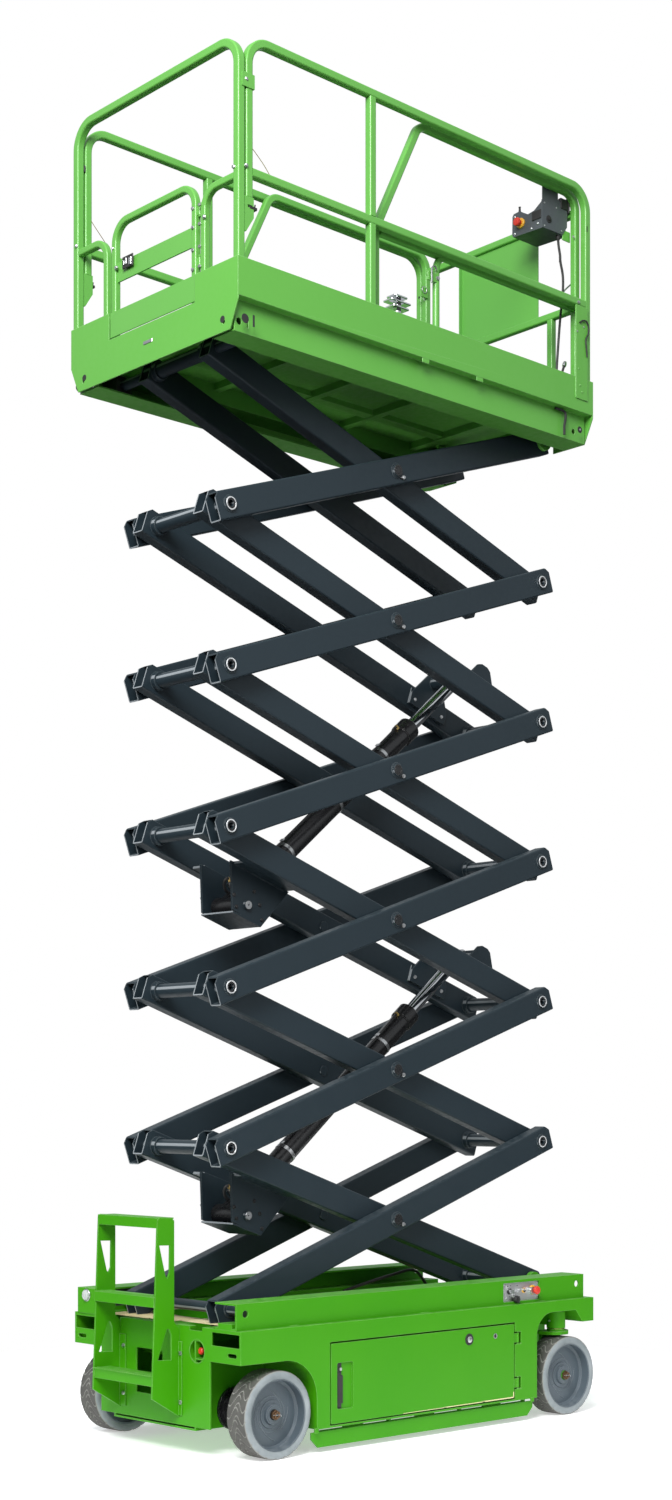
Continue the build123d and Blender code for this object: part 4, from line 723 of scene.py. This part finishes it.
for stage in range(1, STAGES + 1):
    on_outer, on_inner = partial(on_arm, stage, True), partial(on_arm, stage, False)
    steel, shiny, black, bead = keys(f"outer_arm_pair_{stage}", STEEL, PIN_STEEL, BLACK_PAINT, SLATE)
    collar = (f"inner_arm_pair_{stage}", SLATE)
    for side in (-1, 1):
        out = Vector((0, side, 0))
        for end in (-HALF_ARM, HALF_ARM):
            hidden = (stage == 1 and end < 0) or (stage == STAGES and end > 0)
            if not hidden:
                pin = on_outer(end, side * (ARM_OUT + 0.009), 0)
                ring(shiny, PIN_BORE, PIN_RADIUS, 0.003, pin, out, 40)
                ring(black, 0.015, PIN_BORE + 0.0001, 0.0012, pin, out, 30)
            weld(bead, circle(on_outer(end, side * (ARM_OUT + 0.0008), 0), out, BOSS_WELD, 30), 0.0022)
        middle = on_outer(0, side * (ARM_OUT + 0.012), 0)
        ring(black, 0.0165, 0.0255, 0.002, middle, out, 30)
        lathe(black, mm(16, 0, 15.5, 1.2), middle, out, 24)
        brick(black, on_outer(0.028, side * ARM_OUT, -0.034), (-13, -4.5, -10), (13, 4.5, 10), 1.5)
        bolt(steel, on_outer(0.031, side * (ARM_OUT + 0.0045), -0.036), out, 0.0048)
        weld(bead, circle(on_outer(0, side * (ARM_OUT + 0.0008), 0), out, BOSS_WELD, 30), 0.0022)
        for end in (-HALF_ARM, HALF_ARM):
            inside = on_inner(end, side * (INNER_FACE - 0.0262), 0)
            ring(collar, COLLAR_BORE, COLLAR_RADIUS, 0.0014, inside, -out, 30)
            edge = circle(on_inner(end, side * (INNER_FACE - 0.0008), 0), out, COLLAR_WELD, 30)
            weld(collar, edge, 0.0024)
print("pins of", STAGES, "stages,", round(RISE, 3), "m apart")

# %% [markdown]
# ## Fittings along the arms
# Two hydraulic hoses run along the inside of the near arms and dive into the tube through rubber
# grommets, held by clips that are screwed to the arm.

# %% Hoses, grommets and clips
HOSE_RADIUS = 0.0065
HOSE_ENDS = (-0.495, 0.595)
HOSE_STATIONS = (-0.44, -0.30, -0.12, 0.06, 0.24, 0.40, 0.54)
CLIPS, CLIP_BAND = (-0.36, -0.03, 0.30), mm(1, 27, 17, 19, 17, -19, 1, -27)
FAR_WAY = -NEAR_SIDE
for stage in range(1, STAGES + 1):
    on_inner = partial(on_arm, stage, False)
    rubber, steel = keys(f"inner_arm_pair_{stage}", BLACK_RUBBER, STEEL)
    for offset in (-0.012, 0.012):
        start, end = [on_inner(along, -INNER_FACE - 0.002, offset) for along in HOSE_ENDS]
        run = [on_inner(along, -INNER_FACE + HOSE_RADIUS + 0.0035, offset + 0.003 * sin(along * 9))
               for along in HOSE_STATIONS]
        sweep(rubber, [start, *run, end], HOSE_RADIUS, 10, 5)
        for along in HOSE_ENDS:
            ring(rubber, 0.006, 0.0145, 0.004, on_inner(along, -INNER_FACE, offset), FAR_WAY, 18)
    for along in CLIPS:
        sweep(steel, [on_inner(along, -INNER_FACE + off, across) for off, across in CLIP_BAND], 0.0032, 6, 4)
        cap_screw(steel, on_inner(along, -INNER_FACE, 0.036), FAR_WAY)
print(2 * STAGES, "hoses, each pair in", len(CLIPS), "clips")

# %% [markdown]
# ## Lift cylinders
# A cylinder is a welded barrel with a screwed gland, from which a chromed rod comes out. The dark
# collar round the rod is the wiper, which keeps grit out. A hard pipe takes oil to the rod end, and
# the valve on the base locks the oil in if a hose bursts.

# %% Glands, pipes, valves and seat fittings
BARREL, GLAND, GLAND_RADIUS = 1.486, 1.416, 0.0565
PIPE = ((0.15, -0.036, 0.045), (0.20, -0.030, 0.058), (0.30, -0.028, 0.060), (0.80, -0.028, 0.060),
        (1.30, -0.028, 0.060), (1.37, -0.025, 0.062), (1.405, -0.018, 0.058))
BASE_HOSE = (  # along the barrel, share of its offset across, and above it
    (0.085, 1, 0.098), (0.072, 1.2, 0.104), (0.056, 1.6, 0.092), (0.050, 1.9, 0.066), (0.054, 2, 0.043))
SEAT, ROD_SEAT = (-0.710, -0.205), (0.751, 0.126)  # along the arm and square to it


def on_barrel(eye, along, above, reach, y=0.0, rise=0.0):
    """A point from a barrel's eye: along it, across it and above it."""
    return eye + along * reach + FAR_WAY * y + above * rise


for name, stage in (("lower", 1), ("upper", 3)):
    steel, rubber, black, brass = keys(f"cylinder_barrel_{name}", STEEL, BLACK_RUBBER, BLACK_PAINT, BRASS)
    eye = Vector(JOINTS[f"barrel_{name}_tilt"]["pos_m"])
    along = Vector(JOINTS[f"rod_{name}_stroke"]["axis"]).normalized()
    above = Vector((-along.z, 0, along.x))
    lean = Matrix((along, FAR_WAY, above)).transposed().to_4x4()
    spot = partial(on_barrel, eye, along, above)
    ring(rubber, 0.0325, 0.044, 0.004, spot(BARREL), along, 32)
    ring(steel, 0.0455, GLAND_RADIUS, 0.002, spot(BARREL), along, 32)
    for angle in (0.4 + step * pi / 3 for step in range(6)):
        out = FAR_WAY * cos(angle) + above * sin(angle)
        lathe(black, mm(6, 0, 5.5, 1.5), spot(GLAND + 0.035) + out * GLAND_RADIUS, out, 10)
    weld(black, circle(spot(0.046), along, 0.0505, 32), 0.0035)
    weld(black, circle(spot(GLAND - 0.003), along, 0.0515, 32), 0.003)
    sweep(black, [spot(*point) for point in PIPE], 0.0065, 10, 6)
    lathe(brass, mm(10.5, 0, 10.5, 12, 8.5, 13, 8.5, 20), spot(1.402, -0.018, 0.048), above, 6)
    for reach in (0.42, 0.82, 1.22):
        ring(steel, 0.0502, 0.0522, 0.018, spot(reach), along, 32)
        clip = Matrix.Translation(spot(reach + 0.009, -0.028, 0.0655)) @ lean
        slab(steel, (-0.009, -0.012, 0), (0.009, 0.012, 0.004), 0.001, clip)
        cap_screw(steel, spot(reach + 0.009, -0.010, 0.0535), above)
    valve = Matrix.Translation(spot(0.105, 0, 0.062)) @ lean
    slab(steel, (-0.040, -0.030, -0.018), (0.040, 0.030, 0.022), 0.003, valve)
    lathe(black, mm(14, 0, 14, 40, 12, 43), spot(0.145, 0, 0.064), along, 16)
    for y in (-0.018, 0.018):
        lathe(brass, mm(9.5, 0, 9.5, 12, 7, 14, 7, 20), spot(0.085, y, 0.084), above, 6)
        sweep(rubber, [spot(reach, y * apart, rise) for reach, apart, rise in BASE_HOSE], 0.0075, 10, 6)

    on_seat, on_rod_seat = partial(on_arm, stage, False), partial(on_arm, stage + 2, False)
    seat_steel, seat_black, seat_bead = keys(f"inner_arm_pair_{stage}", STEEL, BLACK_PAINT, SLATE)
    rod_steel, rod_bead = keys(f"inner_arm_pair_{stage + 2}", STEEL, SLATE)
    for side in (-1, 1):
        out = Vector((0, side, 0))
        ring(seat_steel, 0.004, 0.019, 0.003, on_seat(SEAT[0], side * 0.124, SEAT[1]), out, 26)
        for da, dc in mm(-85, 15, 70, 30, 105, -30, -55, -30, 20, 75):
            bolt(seat_black, on_seat(SEAT[0] + da, side * 0.112, SEAT[1] + dc), out, 0.0045)
        weld(seat_bead, [on_seat(SEAT[0] + da, side * 0.1125, -0.0585) for da in (-0.128, 0.0, 0.185)])
        weld(rod_bead, circle(on_rod_seat(ROD_SEAT[0], side * 0.1625, ROD_SEAT[1]), out, 0.0335, 26), 0.0024)
        for da in (-0.10, 0.10):
            bolt(rod_steel, on_rod_seat(ROD_SEAT[0] + da, side * 0.163, -0.010), -out, 0.0045)
print("2 cylinders with a pipe and 2 hoses each")

# %% [markdown]
# ## Chassis fittings
# A paddle latch sits in a recess so that nothing catches it in a narrow aisle. The round barrel
# above is a compression lock. The steps have teeth pressed into their edges for wet boots, and the
# red knob in the round recess lets the platform down by hand when the battery is flat.

# %% Doors, flanges, steps and emergency pull
BASE_STEEL, BASE_GREEN, BASE_RUBBER, BASE_RED = keys("chassis", STEEL, GREEN, BLACK_RUBBER, RED_PLASTIC)
HALF_WIDTH = 0.590
# The first entry is a thin black sheet on the bottom of the recess, larger than the paddle: painted shade in
# the recess. The other two make the paddle.
PADDLE_AND_SHADE_SHEET = [  # x and z from and to, half thickness, chamfer
    ((0.5545, 0.586), (0.183, 0.383), 0.0006, 0.0002), ((0.559, 0.583), (0.188, 0.342), 0.006, 0.003),
    ((0.564, 0.590), (0.205, 0.330), 0.0085, 0.003)]
# Pale lines along the bottom edge of each door, thicker towards the steering end, and a short one up its
# steering-end edge.
DOOR_STRIPS = [  # x and z from and to
    ((0.96, 1.24), (0.1212, 0.1234)), ((1.22, 1.50), (0.1212, 0.1248)), ((1.48, 1.70), (0.1212, 0.1264)),
    ((1.6955, 1.7005), (0.122, 0.15))]
for side_name, side in SIDES:
    rubber, steel, strip = keys(f"service_door_{side_name}", BLACK_RUBBER, STEEL, WEAR_STRIP)
    out, face, back = Vector((0, side, 0)), side * HALF_WIDTH, side * (HALF_WIDTH - 0.009)
    for x, z, half, soft in PADDLE_AND_SHADE_SHEET:
        patch(rubber, x, z, back, half, soft)
    lathe(steel, mm(7.5, 0, 7.5, 6, 6, 7), at(0.578, back, 0.356), out, 14)
    lock, eye = at(1.3924, face, 0.4224), at(1.5703, face, 0.4249)
    lathe(rubber, mm(27.5, 0, 27.5, 1, 24.5, 3, 17.5, 3), lock, out, 32)
    lathe(steel, mm(15, 2.5, 15, 5, 13, 6), lock, out, 26)
    patch(rubber, (1.3914, 1.3934), (0.415, 0.4298), face, 0.0065, 0.0004)
    ring(steel, 0.0085, 0.0125, 0.002, eye, out, 24)
    lathe(rubber, mm(8.8, 0, 8.5, 1), eye, out, 18)
    for x, z in DOOR_STRIPS:
        patch(strip, x, z, face, 0.001, 0.0004)

for y in (-0.193, 0.214):
    for z in (0.439, 0.227):
        bolt(BASE_STEEL, at(-0.006, y, z), END, 0.0048)
TOOTH, TEETH, TOOTH_PITCH = mm(4.8, -0.6, 4, 3, 1.8, 4), 26, 0.016
for x, z in ((-0.164, 0.348), (-0.142, 0.688)):
    for y in (-0.165 + tooth * TOOTH_PITCH for tooth in range(TEETH)):
        lathe(BASE_GREEN, TOOTH, at(x + 0.012, y, z), UP, 8)
        lathe(BASE_GREEN, TOOTH, at(x + 0.036, y + TOOTH_PITCH / 2, z), UP, 8)
ring(BASE_GREEN, 0.0485, 0.0535, 0.0016, at(0, -0.300, 0.456), END, 44)
PULL = at(0.054, -0.300, 0.456)
lathe(BASE_RUBBER, mm(13, 0, 13, 10, 7, 12, 7, 24), PULL, END, 20)
lathe(BASE_RED, mm(9, 20, 14.5, 23, 15.5, 34, 12, 39), PULL, END, 24)
print(4 * TEETH, "step teeth and the emergency pull")

# %% [markdown]
# ## Ground controls and lamp
# The ground controls let someone beside the machine lower it. The red mushroom on its yellow collar
# stops everything, and the key picks which set of controls works. They sit behind a window of the
# track, where a wall can't press them. The lamp at the ladder end flashes while the machine moves.

# %% Panel, key, knobs, stop and lamp
BASE_PANEL, BASE_YELLOW, BASE_LAMP = keys("chassis", PANEL_METAL, YELLOW_PLASTIC, LAMP_GREY)
PANEL_Y = -0.5522


def on_panel(x, z, off=0.0):
    """A point so far off the panel of the ground controls."""
    return at(x, PANEL_Y - off, z)


slab(BASE_PANEL, on_panel(1.682, 0.5865, 0.0012), on_panel(1.916, 0.6585, -0.0006), 0.0004)
for x in (1.6885, 1.9095):
    for z in (0.6535, 0.5915):
        cap_screw(BASE_STEEL, on_panel(x, z, 0.001), NEAR_SIDE, 0.0022)
KEY, KNOB = on_panel(1.708, 0.6235, 0.001), on_panel(1.7445, 0.5845)
BUTTON, GROUND_STOP = on_panel(1.8085, 0.6225), on_panel(1.872, 0.6215)
lathe(BASE_RUBBER, mm(15, 0, 15, 5, 13, 7), KEY, NEAR_SIDE, 24)
lathe(BASE_STEEL, mm(9.5, 6, 9.5, 12, 8, 13), KEY, NEAR_SIDE, 20)
brick(BASE_STEEL, KEY, (-1.5, -34, -8), (1.5, -10, 8), 0.6)
lathe(BASE_RUBBER, mm(12.5, 0, 12.5, 6, 17, 8, 18, 20, 15, 26), KNOB, NEAR_SIDE, 28)
brick(BASE_RUBBER, KNOB, (-4, -34, -16), (4, -20, 16), 1)
lathe(BASE_STEEL, mm(7, 0, 7, 4, 3, 5, 2.4, 14, 3.2, 19), on_panel(1.764, 0.622), NEAR_SIDE, 14)
lathe(BASE_YELLOW, mm(12, 0, 12, 5, 10.5, 7), BUTTON, NEAR_SIDE, 24)
lathe(BASE_RUBBER, mm(7.5, 6.5, 7.5, 10, 6.5, 11), BUTTON, NEAR_SIDE, 20)
lathe(BASE_YELLOW, mm(22.5, 0, 22.5, 6, 20.5, 8), GROUND_STOP, NEAR_SIDE, 30)
lathe(BASE_RED, mm(11, 6, 11, 20, 19, 24, 20.5, 32, 18, 38, 8, 41), GROUND_STOP, NEAR_SIDE, 30)
for x, z in ((1.695, 0.649), (1.716, 0.650), (1.764, 0.648)):
    brick(BASE_RUBBER, on_panel(x, z), (-4, -1.8, -1.4), (4, -0.8, 1.4), 0.2)
LAMP = at(-0.006, 0.491, 0.6445)
lathe(BASE_STEEL, mm(28.5, 0, 28.5, 3, 26.5, 5), LAMP, END, 36)
lathe(BASE_LAMP, mm(23.5, 4, 22.5, 11, 16.5, 15.5, 8, 17.5), LAMP, END, 32)
print("ground controls at", round(KEY.z, 2), "m above the ground")

# %% [markdown]
# ## Strips, bushes and hoses on the chassis
# Pale strips of nylon lie where the blocks slide and where the arms come down, so that steel never
# rubs on steel. The bronze washer under a kingpin carries the weight of a corner while it steers.

# %% Wear strips, kingpin washers, clips and hoses
BASE_STRIP = ("chassis", WEAR_STRIP)
STRIP_LOW, STRIP_HIGH = 0.5618, 0.5648
CROSS_STRIPS = ((0.095, 0.225, -0.412, -0.075), (0.055, 0.215, -0.060, 0.098), (0.050, 0.225, 0.112, 0.412))
for low, high, y_low, y_high in CROSS_STRIPS:
    slab(BASE_STRIP, at(low, y_low, STRIP_LOW), at(high, y_high, STRIP_HIGH), 0.0008)
for side_name, side in SIDES:
    patch(BASE_STRIP, (0.235, 2.02), (STRIP_LOW, STRIP_HIGH), side * 0.375, 0.03)
    washer, kingpin = (f"steer_knuckle_{side_name}", BRASS), at(STEER_X, side * 0.505, 0.4045)
    ring(washer, 0.024, 0.040, 0.0125, kingpin, UP, 36)
    ring(washer, 0.024, 0.036, 0.013, kingpin, UP, 36)
    lathe(BASE_STEEL, mm(6, 0, 6, 4, 3, 5, 3, 10), at(STEER_X - 0.047, side * 0.505, 0.455), END, 10)
    for x in (0.30, 1.10, 1.90):
        weld(BASE_GREEN, route(side, (x, 0.5612, 0.5635), (x + 0.05, 0.5612, 0.5635)), 0.0022)
    for x in (0.43, 1.83):
        patch(BASE_GREEN, (x - 0.012, x + 0.012), (0.09, 0.112), side * 0.5905, 0.0025)
sweep(BASE_RUBBER, route(1, (2.02, 0.30, 0.575), (1.93, 0.31, 0.66), (1.80, 0.345, 0.640),
                         (1.66, 0.385, 0.605), (1.52, 0.40, 0.573)), 0.008, 10, 7)
print("chassis fittings:", sum(1 for key in LOTS if key[0] == "chassis"), "finishes")

# %% [markdown]
# ## Platform fittings
# The gate hangs on a bolted hinge plate, and its latch falls shut by itself. Folding rails are
# pinned with pins on thin wires, so that no pin gets lost, and black stops in the brackets take up
# their play. Holes in the end plates take the hooks of a crane's sling.

# %% Gate hinge, latch and bolts
GATE_STEEL, GATE_RUBBER = keys("entry_gate", STEEL, BLACK_RUBBER)
RAIL_STEEL, RAIL_RUBBER_AND_HOLE_SHADE, RAIL_BRASS, RAIL_GREEN = keys("platform", STEEL, BLACK_RUBBER, BRASS, DECK_GREEN_LIT)
TUBE_FACE = -0.010
LATCH = at(-0.007, 0.178, 5.281)
for z in (5.1085, 5.1930, 5.2900, 5.3720):
    bolt(GATE_STEEL, at(TUBE_FACE, -0.283, z), END, 0.0042)
    bolt(RAIL_STEEL, at(TUBE_FACE - 0.002, -0.333, z), END, 0.0042)
bolt(RAIL_STEEL, at(TUBE_FACE - 0.001, -0.362, 5.312), END, 0.0046)
brick(GATE_RUBBER, LATCH, (-5, -39, -27), (0, 39, 27), 2)
for low, high in (((-8.5, -30, -20), (-4.8, -10, 12)), ((-8.5, 4, -10), (-4.8, 13, 16)),
                  ((-10.5, 19, -12), (-4.8, 25, 6))):
    brick(GATE_STEEL, LATCH, low, high, 1)
bolt(GATE_STEEL, at(-0.0085, 0.262, 5.275), END, 0.005)
bolt(GATE_STEEL, at(TUBE_FACE, 0.287, 5.370), END, 0.0036, False)
slab(RAIL_STEEL, at(-0.0215, -0.012, 4.870), at(-0.0188, 0.052, 4.885), 0.0012)
print("gate latch at", round(LATCH.z - FLOOR_TOP, 2), "m above the platform floor")

# %% Holes, pins, stops and wires of the rails
WEB_Y, RAIL_FACE, CORNER_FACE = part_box("deck_channels")[1].y, 0.5895, 0.5995
SIDE_BOLTS = ((0.029, 5.470, 0.0045), (2.170, 5.450, 0.0042), (0.0285, 5.833, 0.0046))  # x, z and size
CORNER_SCREWS = ((2.150, 5.300), (2.200, 5.3318), (2.160, 5.12), (2.172, 5.04), (2.186, 5.01))
PIN_WIRE = ((0.064, 0.552, 5.596), (0.095, 0.556, 5.570), (0.150, 0.560, 5.522), (0.190, 0.564, 5.476))
CORNER_LOOP = ((2.164, 0.6035, 5.344), (2.186, 0.6055, 5.359), (2.212, 0.6065, 5.360), (2.229, 0.6055, 5.335),
               (2.224, 0.6055, 5.300), (2.209, 0.6045, 5.272), (2.213, 0.6045, 5.230), (2.220, 0.6035, 5.188))
STRAP = ((2.030, 0.562, 4.906), (2.070, 0.568, 4.903), (2.095, 0.569, 4.896), (2.098, 0.569, 4.870),
         (2.090, 0.568, 4.830), (2.090, 0.568, 4.788))
for side in (-1, 1):
    out, web, rail_face = Vector((0, side, 0)), side * WEB_Y, side * RAIL_FACE
    # Thin black discs and a thin black strip stand in for holes and a slot in the end plates and channels:
    # painted shade where the dark inside of a hole would be.
    lathe(RAIL_RUBBER_AND_HOLE_SHADE, mm(15, 0, 14.5, 0.8), at(-0.019, side * 0.492, 4.837), END, 26)
    lathe(RAIL_RUBBER_AND_HOLE_SHADE, mm(20, 0, 19.5, 0.8), at(0.024, web, 4.825), out, 30)
    patch(RAIL_RUBBER_AND_HOLE_SHADE, (0.066, 0.077), (4.80, 4.85), web, 0.0008, 0.0003)
    lathe(RAIL_RUBBER_AND_HOLE_SHADE, mm(16.5, 0, 16, 0.8), at(2.180, web, 4.826), out, 30)
    lathe(RAIL_STEEL, mm(6, 0.8, 5.5, 3), at(2.180, web, 4.826), out, 12)
    for x, z, size in SIDE_BOLTS:
        bolt(RAIL_STEEL, at(x, rail_face, z), out, size)
    bolt(RAIL_STEEL, at(-0.013, side * 0.560, 5.461), END, 0.0046)
    patch(RAIL_RUBBER_AND_HOLE_SHADE, (0.050, 0.092), (5.296, 5.308), side * 0.57475, 0.01475, 0.001)
    sweep(RAIL_RUBBER_AND_HOLE_SHADE, route(side, (0.088, 0.575, 5.306), (0.092, 0.575, 5.326)), 0.003, 8)
    for x in (0.0265, 2.236):
        patch(RAIL_RUBBER_AND_HOLE_SHADE, (x - 0.004, x + 0.004), (5.812, 5.842), side * 0.570, 0.020, 0.001)
    sweep(RAIL_BRASS, route(side, *PIN_WIRE), 0.0016, 6, 6)
    for x in (1.1024, 1.4615):
        patch(RAIL_GREEN, (x - 0.022, x + 0.022), (4.895, 4.917), side * 0.5915, 0.002)
    for x, z in CORNER_SCREWS:
        cap_screw(RAIL_GREEN if z < 5.2 else RAIL_STEEL, at(x, side * (CORNER_FACE - 0.0002), z), out, 0.0026)
    sweep(RAIL_RUBBER_AND_HOLE_SHADE, route(side, *CORNER_LOOP), 0.0038, 8, 7)
    sweep(RAIL_RUBBER_AND_HOLE_SHADE, route(side, *STRAP), 0.0062, 8, 7)
print("rail fittings on both sides:", len(SIDE_BOLTS) + len(CORNER_SCREWS), "bolts and screws each")

# %% [markdown]
# ## Deck lock and rail pins
# The deck rolls out over the front axle. A foot pedal lifts the bar that locks it, and pins with
# rings hold the folding rails upright.

# %% Pedal, pins and hooks
ROLL_STEEL, ROLL_CHROME, ROLL_RUBBER, ROLL_GREEN = keys("extension", STEEL, CHROME, BLACK_RUBBER, DECK_GREEN_LIT)
PEDAL, TUBE_Y = at(1.010, -0.500, FLOOR_TOP), 0.5165
HOOK = ((-12, 10, -34), (-12, 11, 30), (4, 13, 44), (20, 11, 34))
lathe(ROLL_STEEL, mm(24, 4.2, 24, 12, 13, 14, 13, 150, 20, 152, 20, 168), PEDAL, UP, 20)
for height, reach in ((178, 50), (204, 62), (228, 40)):
    brick(ROLL_CHROME, PEDAL, (-reach, -30, height), (reach, 30, height + 10), 3)
brick(ROLL_CHROME, PEDAL, (-14, -14, 166), (14, 14, 240), 3)
lathe(ROLL_RUBBER, mm(30, 140, 32, 150, 20, 158), PEDAL, UP, 20)
for side in (-1, 1):
    out = Vector((0, side, 0))
    catch = at(1.208, side * (TUBE_Y + 0.012), 5.335)
    brick(ROLL_GREEN, catch, (-30, -3, -22), (46, 3, 22), 2)
    bolt(ROLL_STEEL, catch + Vector((0.034, side * 0.0028, 0)), out, 0.0052)
    sweep(ROLL_STEEL, [catch + Vector((a, side * b, c)) / 1000 for a, b, c in HOOK], 0.0042, 8, 6)
    sweep(ROLL_STEEL, route(side, (2.174, 0.4825, 5.514), (2.190, 0.4825, 5.542), (2.244, 0.4825, 5.590)),
          0.0042, 8, 3)
    patch(ROLL_GREEN, (2.162, 2.218), (5.782, 5.832), side * 0.4925, 0.003, 0.001)
    sweep(ROLL_STEEL, circle(at(2.186, side * 0.4865, 5.820), FAR_WAY, 0.017, 24), 0.002, 6, 1)
    cap_screw(ROLL_STEEL, at(2.196, side * 0.5347, 5.794), out, 0.004)
    lathe(ROLL_RUBBER, mm(7.5, 0, 7.5, 12, 5, 18, 4, 30), at(2.076, side * TUBE_Y, 5.474), UP, 12)
sweep(ROLL_RUBBER, route(-1, (2.158, 0.490, 5.060), (2.164, 0.490, 5.125), (2.176, 0.492, 5.162)), 0.006,
      8, 4)
lathe(ROLL_STEEL, mm(10, 0, 11, 12, 8, 24), at(2.176, -0.492, 5.162), (0.4, 0, 1), 14)
print("foot pedal", round(PEDAL.x - PLATE_X, 2), "m from the ladder-end plate")

# %% Second arch of the rolling deck's middle rail
ROLL_TUBE = ("extension", TUBE_GREEN_LIT)
ARCH_X, ARCH_RADIUS, BEND, BEND_STEPS = 1.246, 0.0165, 0.075, 8
BEND_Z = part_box("extension_rails")[1].z - 0.578 - BEND
for side in (-1, 1):
    post = [at(ARCH_X, side * TUBE_Y, z) for z in (FLOOR_TOP + 0.0145, 5.20, BEND_Z)]
    sweep(ROLL_TUBE, post, ARCH_RADIUS, 16, 3)
    elbow = [at(ARCH_X + BEND - BEND * cos(a), side * TUBE_Y, BEND_Z + BEND * sin(a))
             for a in (pi / 2 * step / BEND_STEPS for step in range(BEND_STEPS + 1))]
    sweep(ROLL_TUBE, elbow, ARCH_RADIUS, 16, 1)
print("arch up to", round(BEND_Z + BEND - FLOOR_TOP, 3), "m above the platform floor")

# %% [markdown]
# ## Platform controls
# The control box hangs on the rail by its hooked plate, so that it can be lifted off and used from
# the floor. Its body is a folded case. The red stop is at the end where a hand finds it first, and
# a toggle stands on top beside it. The cable leaves through a rubber gland.

# %% Box, stop, toggle, socket and gland
CONTROL, ROLL_YELLOW, ROLL_RED = keys("extension", CONTROL_PLASTIC, YELLOW_PLASTIC, RED_PLASTIC)
BOX_FROM, BOX_TO, BOX_LOW, FACE_Y = 2.012, 2.186, 5.801, -0.498
HOOK_PLATE = ((2.008, 5.801), (2.158, 5.805), (2.192, 5.850), (2.192, 5.934), (2.124, 5.968), (2.124, 6.0348),
              (2.012, 6.0348), (2.012, 5.940), (2.008, 5.936))
CASE = ((-0.493, 5.801), (-0.304, 5.809), (-0.296, 5.821), (-0.298, 5.912), (-0.306, 5.923), (-0.345, 5.926),
        (-0.400, 5.894), (-0.440, 5.900), (-0.493, 5.934))
plate(CONTROL, [(PLATE_X + x, z) for x, z in HOOK_PLATE], 1, FACE_Y, FACE_Y + 0.006)
plate(CONTROL, CASE, 0, PLATE_X + BOX_FROM, PLATE_X + BOX_TO)
slab(CONTROL, at(BOX_FROM, -0.5285, 6.0312), at(2.124, FACE_Y + 0.001, 6.0348), 0.0006)
slab(ROLL_RUBBER, at(2.142, -0.502, 5.930), at(2.206, -0.480, 5.984), 0.004)
slab(ROLL_RUBBER, at(2.196, -0.506, 5.920), at(2.206, -0.476, 5.996), 0.003)
for x, z in ((2.024, 5.813), (2.150, 5.820), (2.024, 5.924), (2.112, 5.924)):
    cap_screw(ROLL_STEEL, at(x, FACE_Y, z), NEAR_SIDE, 0.0026)
for y, z in ((-0.423, 5.8165), (-0.313, 5.822), (-0.313, 5.905), (-0.464, 5.830)):
    cap_screw(ROLL_STEEL, at(BOX_FROM, y, z), END, 0.0036)
SOCKET, BOX_STOP = at(2.056, FACE_Y, 5.852), at(BOX_FROM, -0.356, 5.862)
lathe(ROLL_RUBBER, mm(18.5, 0, 18.5, 2, 16, 3.5, 13, 3.5), SOCKET, NEAR_SIDE, 28)
lathe(ROLL_RUBBER, mm(10, 2, 10, 8, 8, 9), SOCKET, NEAR_SIDE, 6)
lathe(ROLL_YELLOW, mm(24.5, 0, 24.5, 9, 22, 11), BOX_STOP, END, 32)
lathe(ROLL_RED, mm(13, 10, 13, 22, 19, 25, 21, 33, 18.5, 39, 8, 42), BOX_STOP, END, 32)
lathe(ROLL_RUBBER, mm(10, 0, 10, 6, 6, 9, 5, 26, 6.5, 32), at(2.030, -0.330, 5.9245), UP, 14)
slab(ROLL_RUBBER, at(BOX_FROM - 0.0045, -0.488, 5.850), at(BOX_FROM + 0.0005, -0.430, 5.893), 0.001)
lathe(ROLL_RUBBER, mm(12, 0, 12, 16, 8, 24), at(2.146, -0.479, BOX_LOW + 0.003), -UP, 16)
CABLE_TOP = at(2.146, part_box("control_cable")[0].y + 0.006, 5.6985)
cable = [at(2.146, -0.479, BOX_LOW - 0.010), at(2.146, -0.483, 5.750), CABLE_TOP, CABLE_TOP - UP * 0.030]
sweep(ROLL_RUBBER, cable, 0.0061, 12, 6)
print("control box", round(BOX_LOW - FLOOR_TOP, 2), "m above the platform floor")

# %% Join the small parts
made = {(body, name): to_piece(mesh, f"{body}_{name}", finish, body, 32)
        for (body, name), (mesh, finish) in LOTS.items()}
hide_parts("control_box")
print(len(made), "pieces of small parts")

# %% [markdown]
# ## Floor
# The floor is a pale round sheet that is bright enough to fade into the white background, so only the
# soft shadow under the machine shows where it is.

# %% Floor
FLOOR_RADIUS, FLOOR_GLOW = 3.4, 0.42
floor_mesh = bmesh.new()
centre = at(1.1, 0, 0)
floor_mesh.faces.new(hoop(floor_mesh, centre, -END, FAR_WAY, FLOOR_RADIUS, 96))
floor_data = bpy.data.meshes.new("floor")
floor_mesh.to_mesh(floor_data)
floor_mesh.free()
floor = bpy.data.objects.new("floor", floor_data)
scene.collection.objects.link(floor)
f = Finish("floor", colour(0.9, 0.9, 0.9), 0.9)
pale = f.mix(f.noise(0.8), colour(0.90, 0.90, 0.90), colour(0.93, 0.93, 0.93))
floor_data.materials.append(f.set(Base_Color=pale, Specular_IOR_Level=0.0, Emission_Color=(1, 1, 1, 1),
                                  Emission_Strength=FLOOR_GLOW))
print("floor of", 2 * FLOOR_RADIUS, "m across")
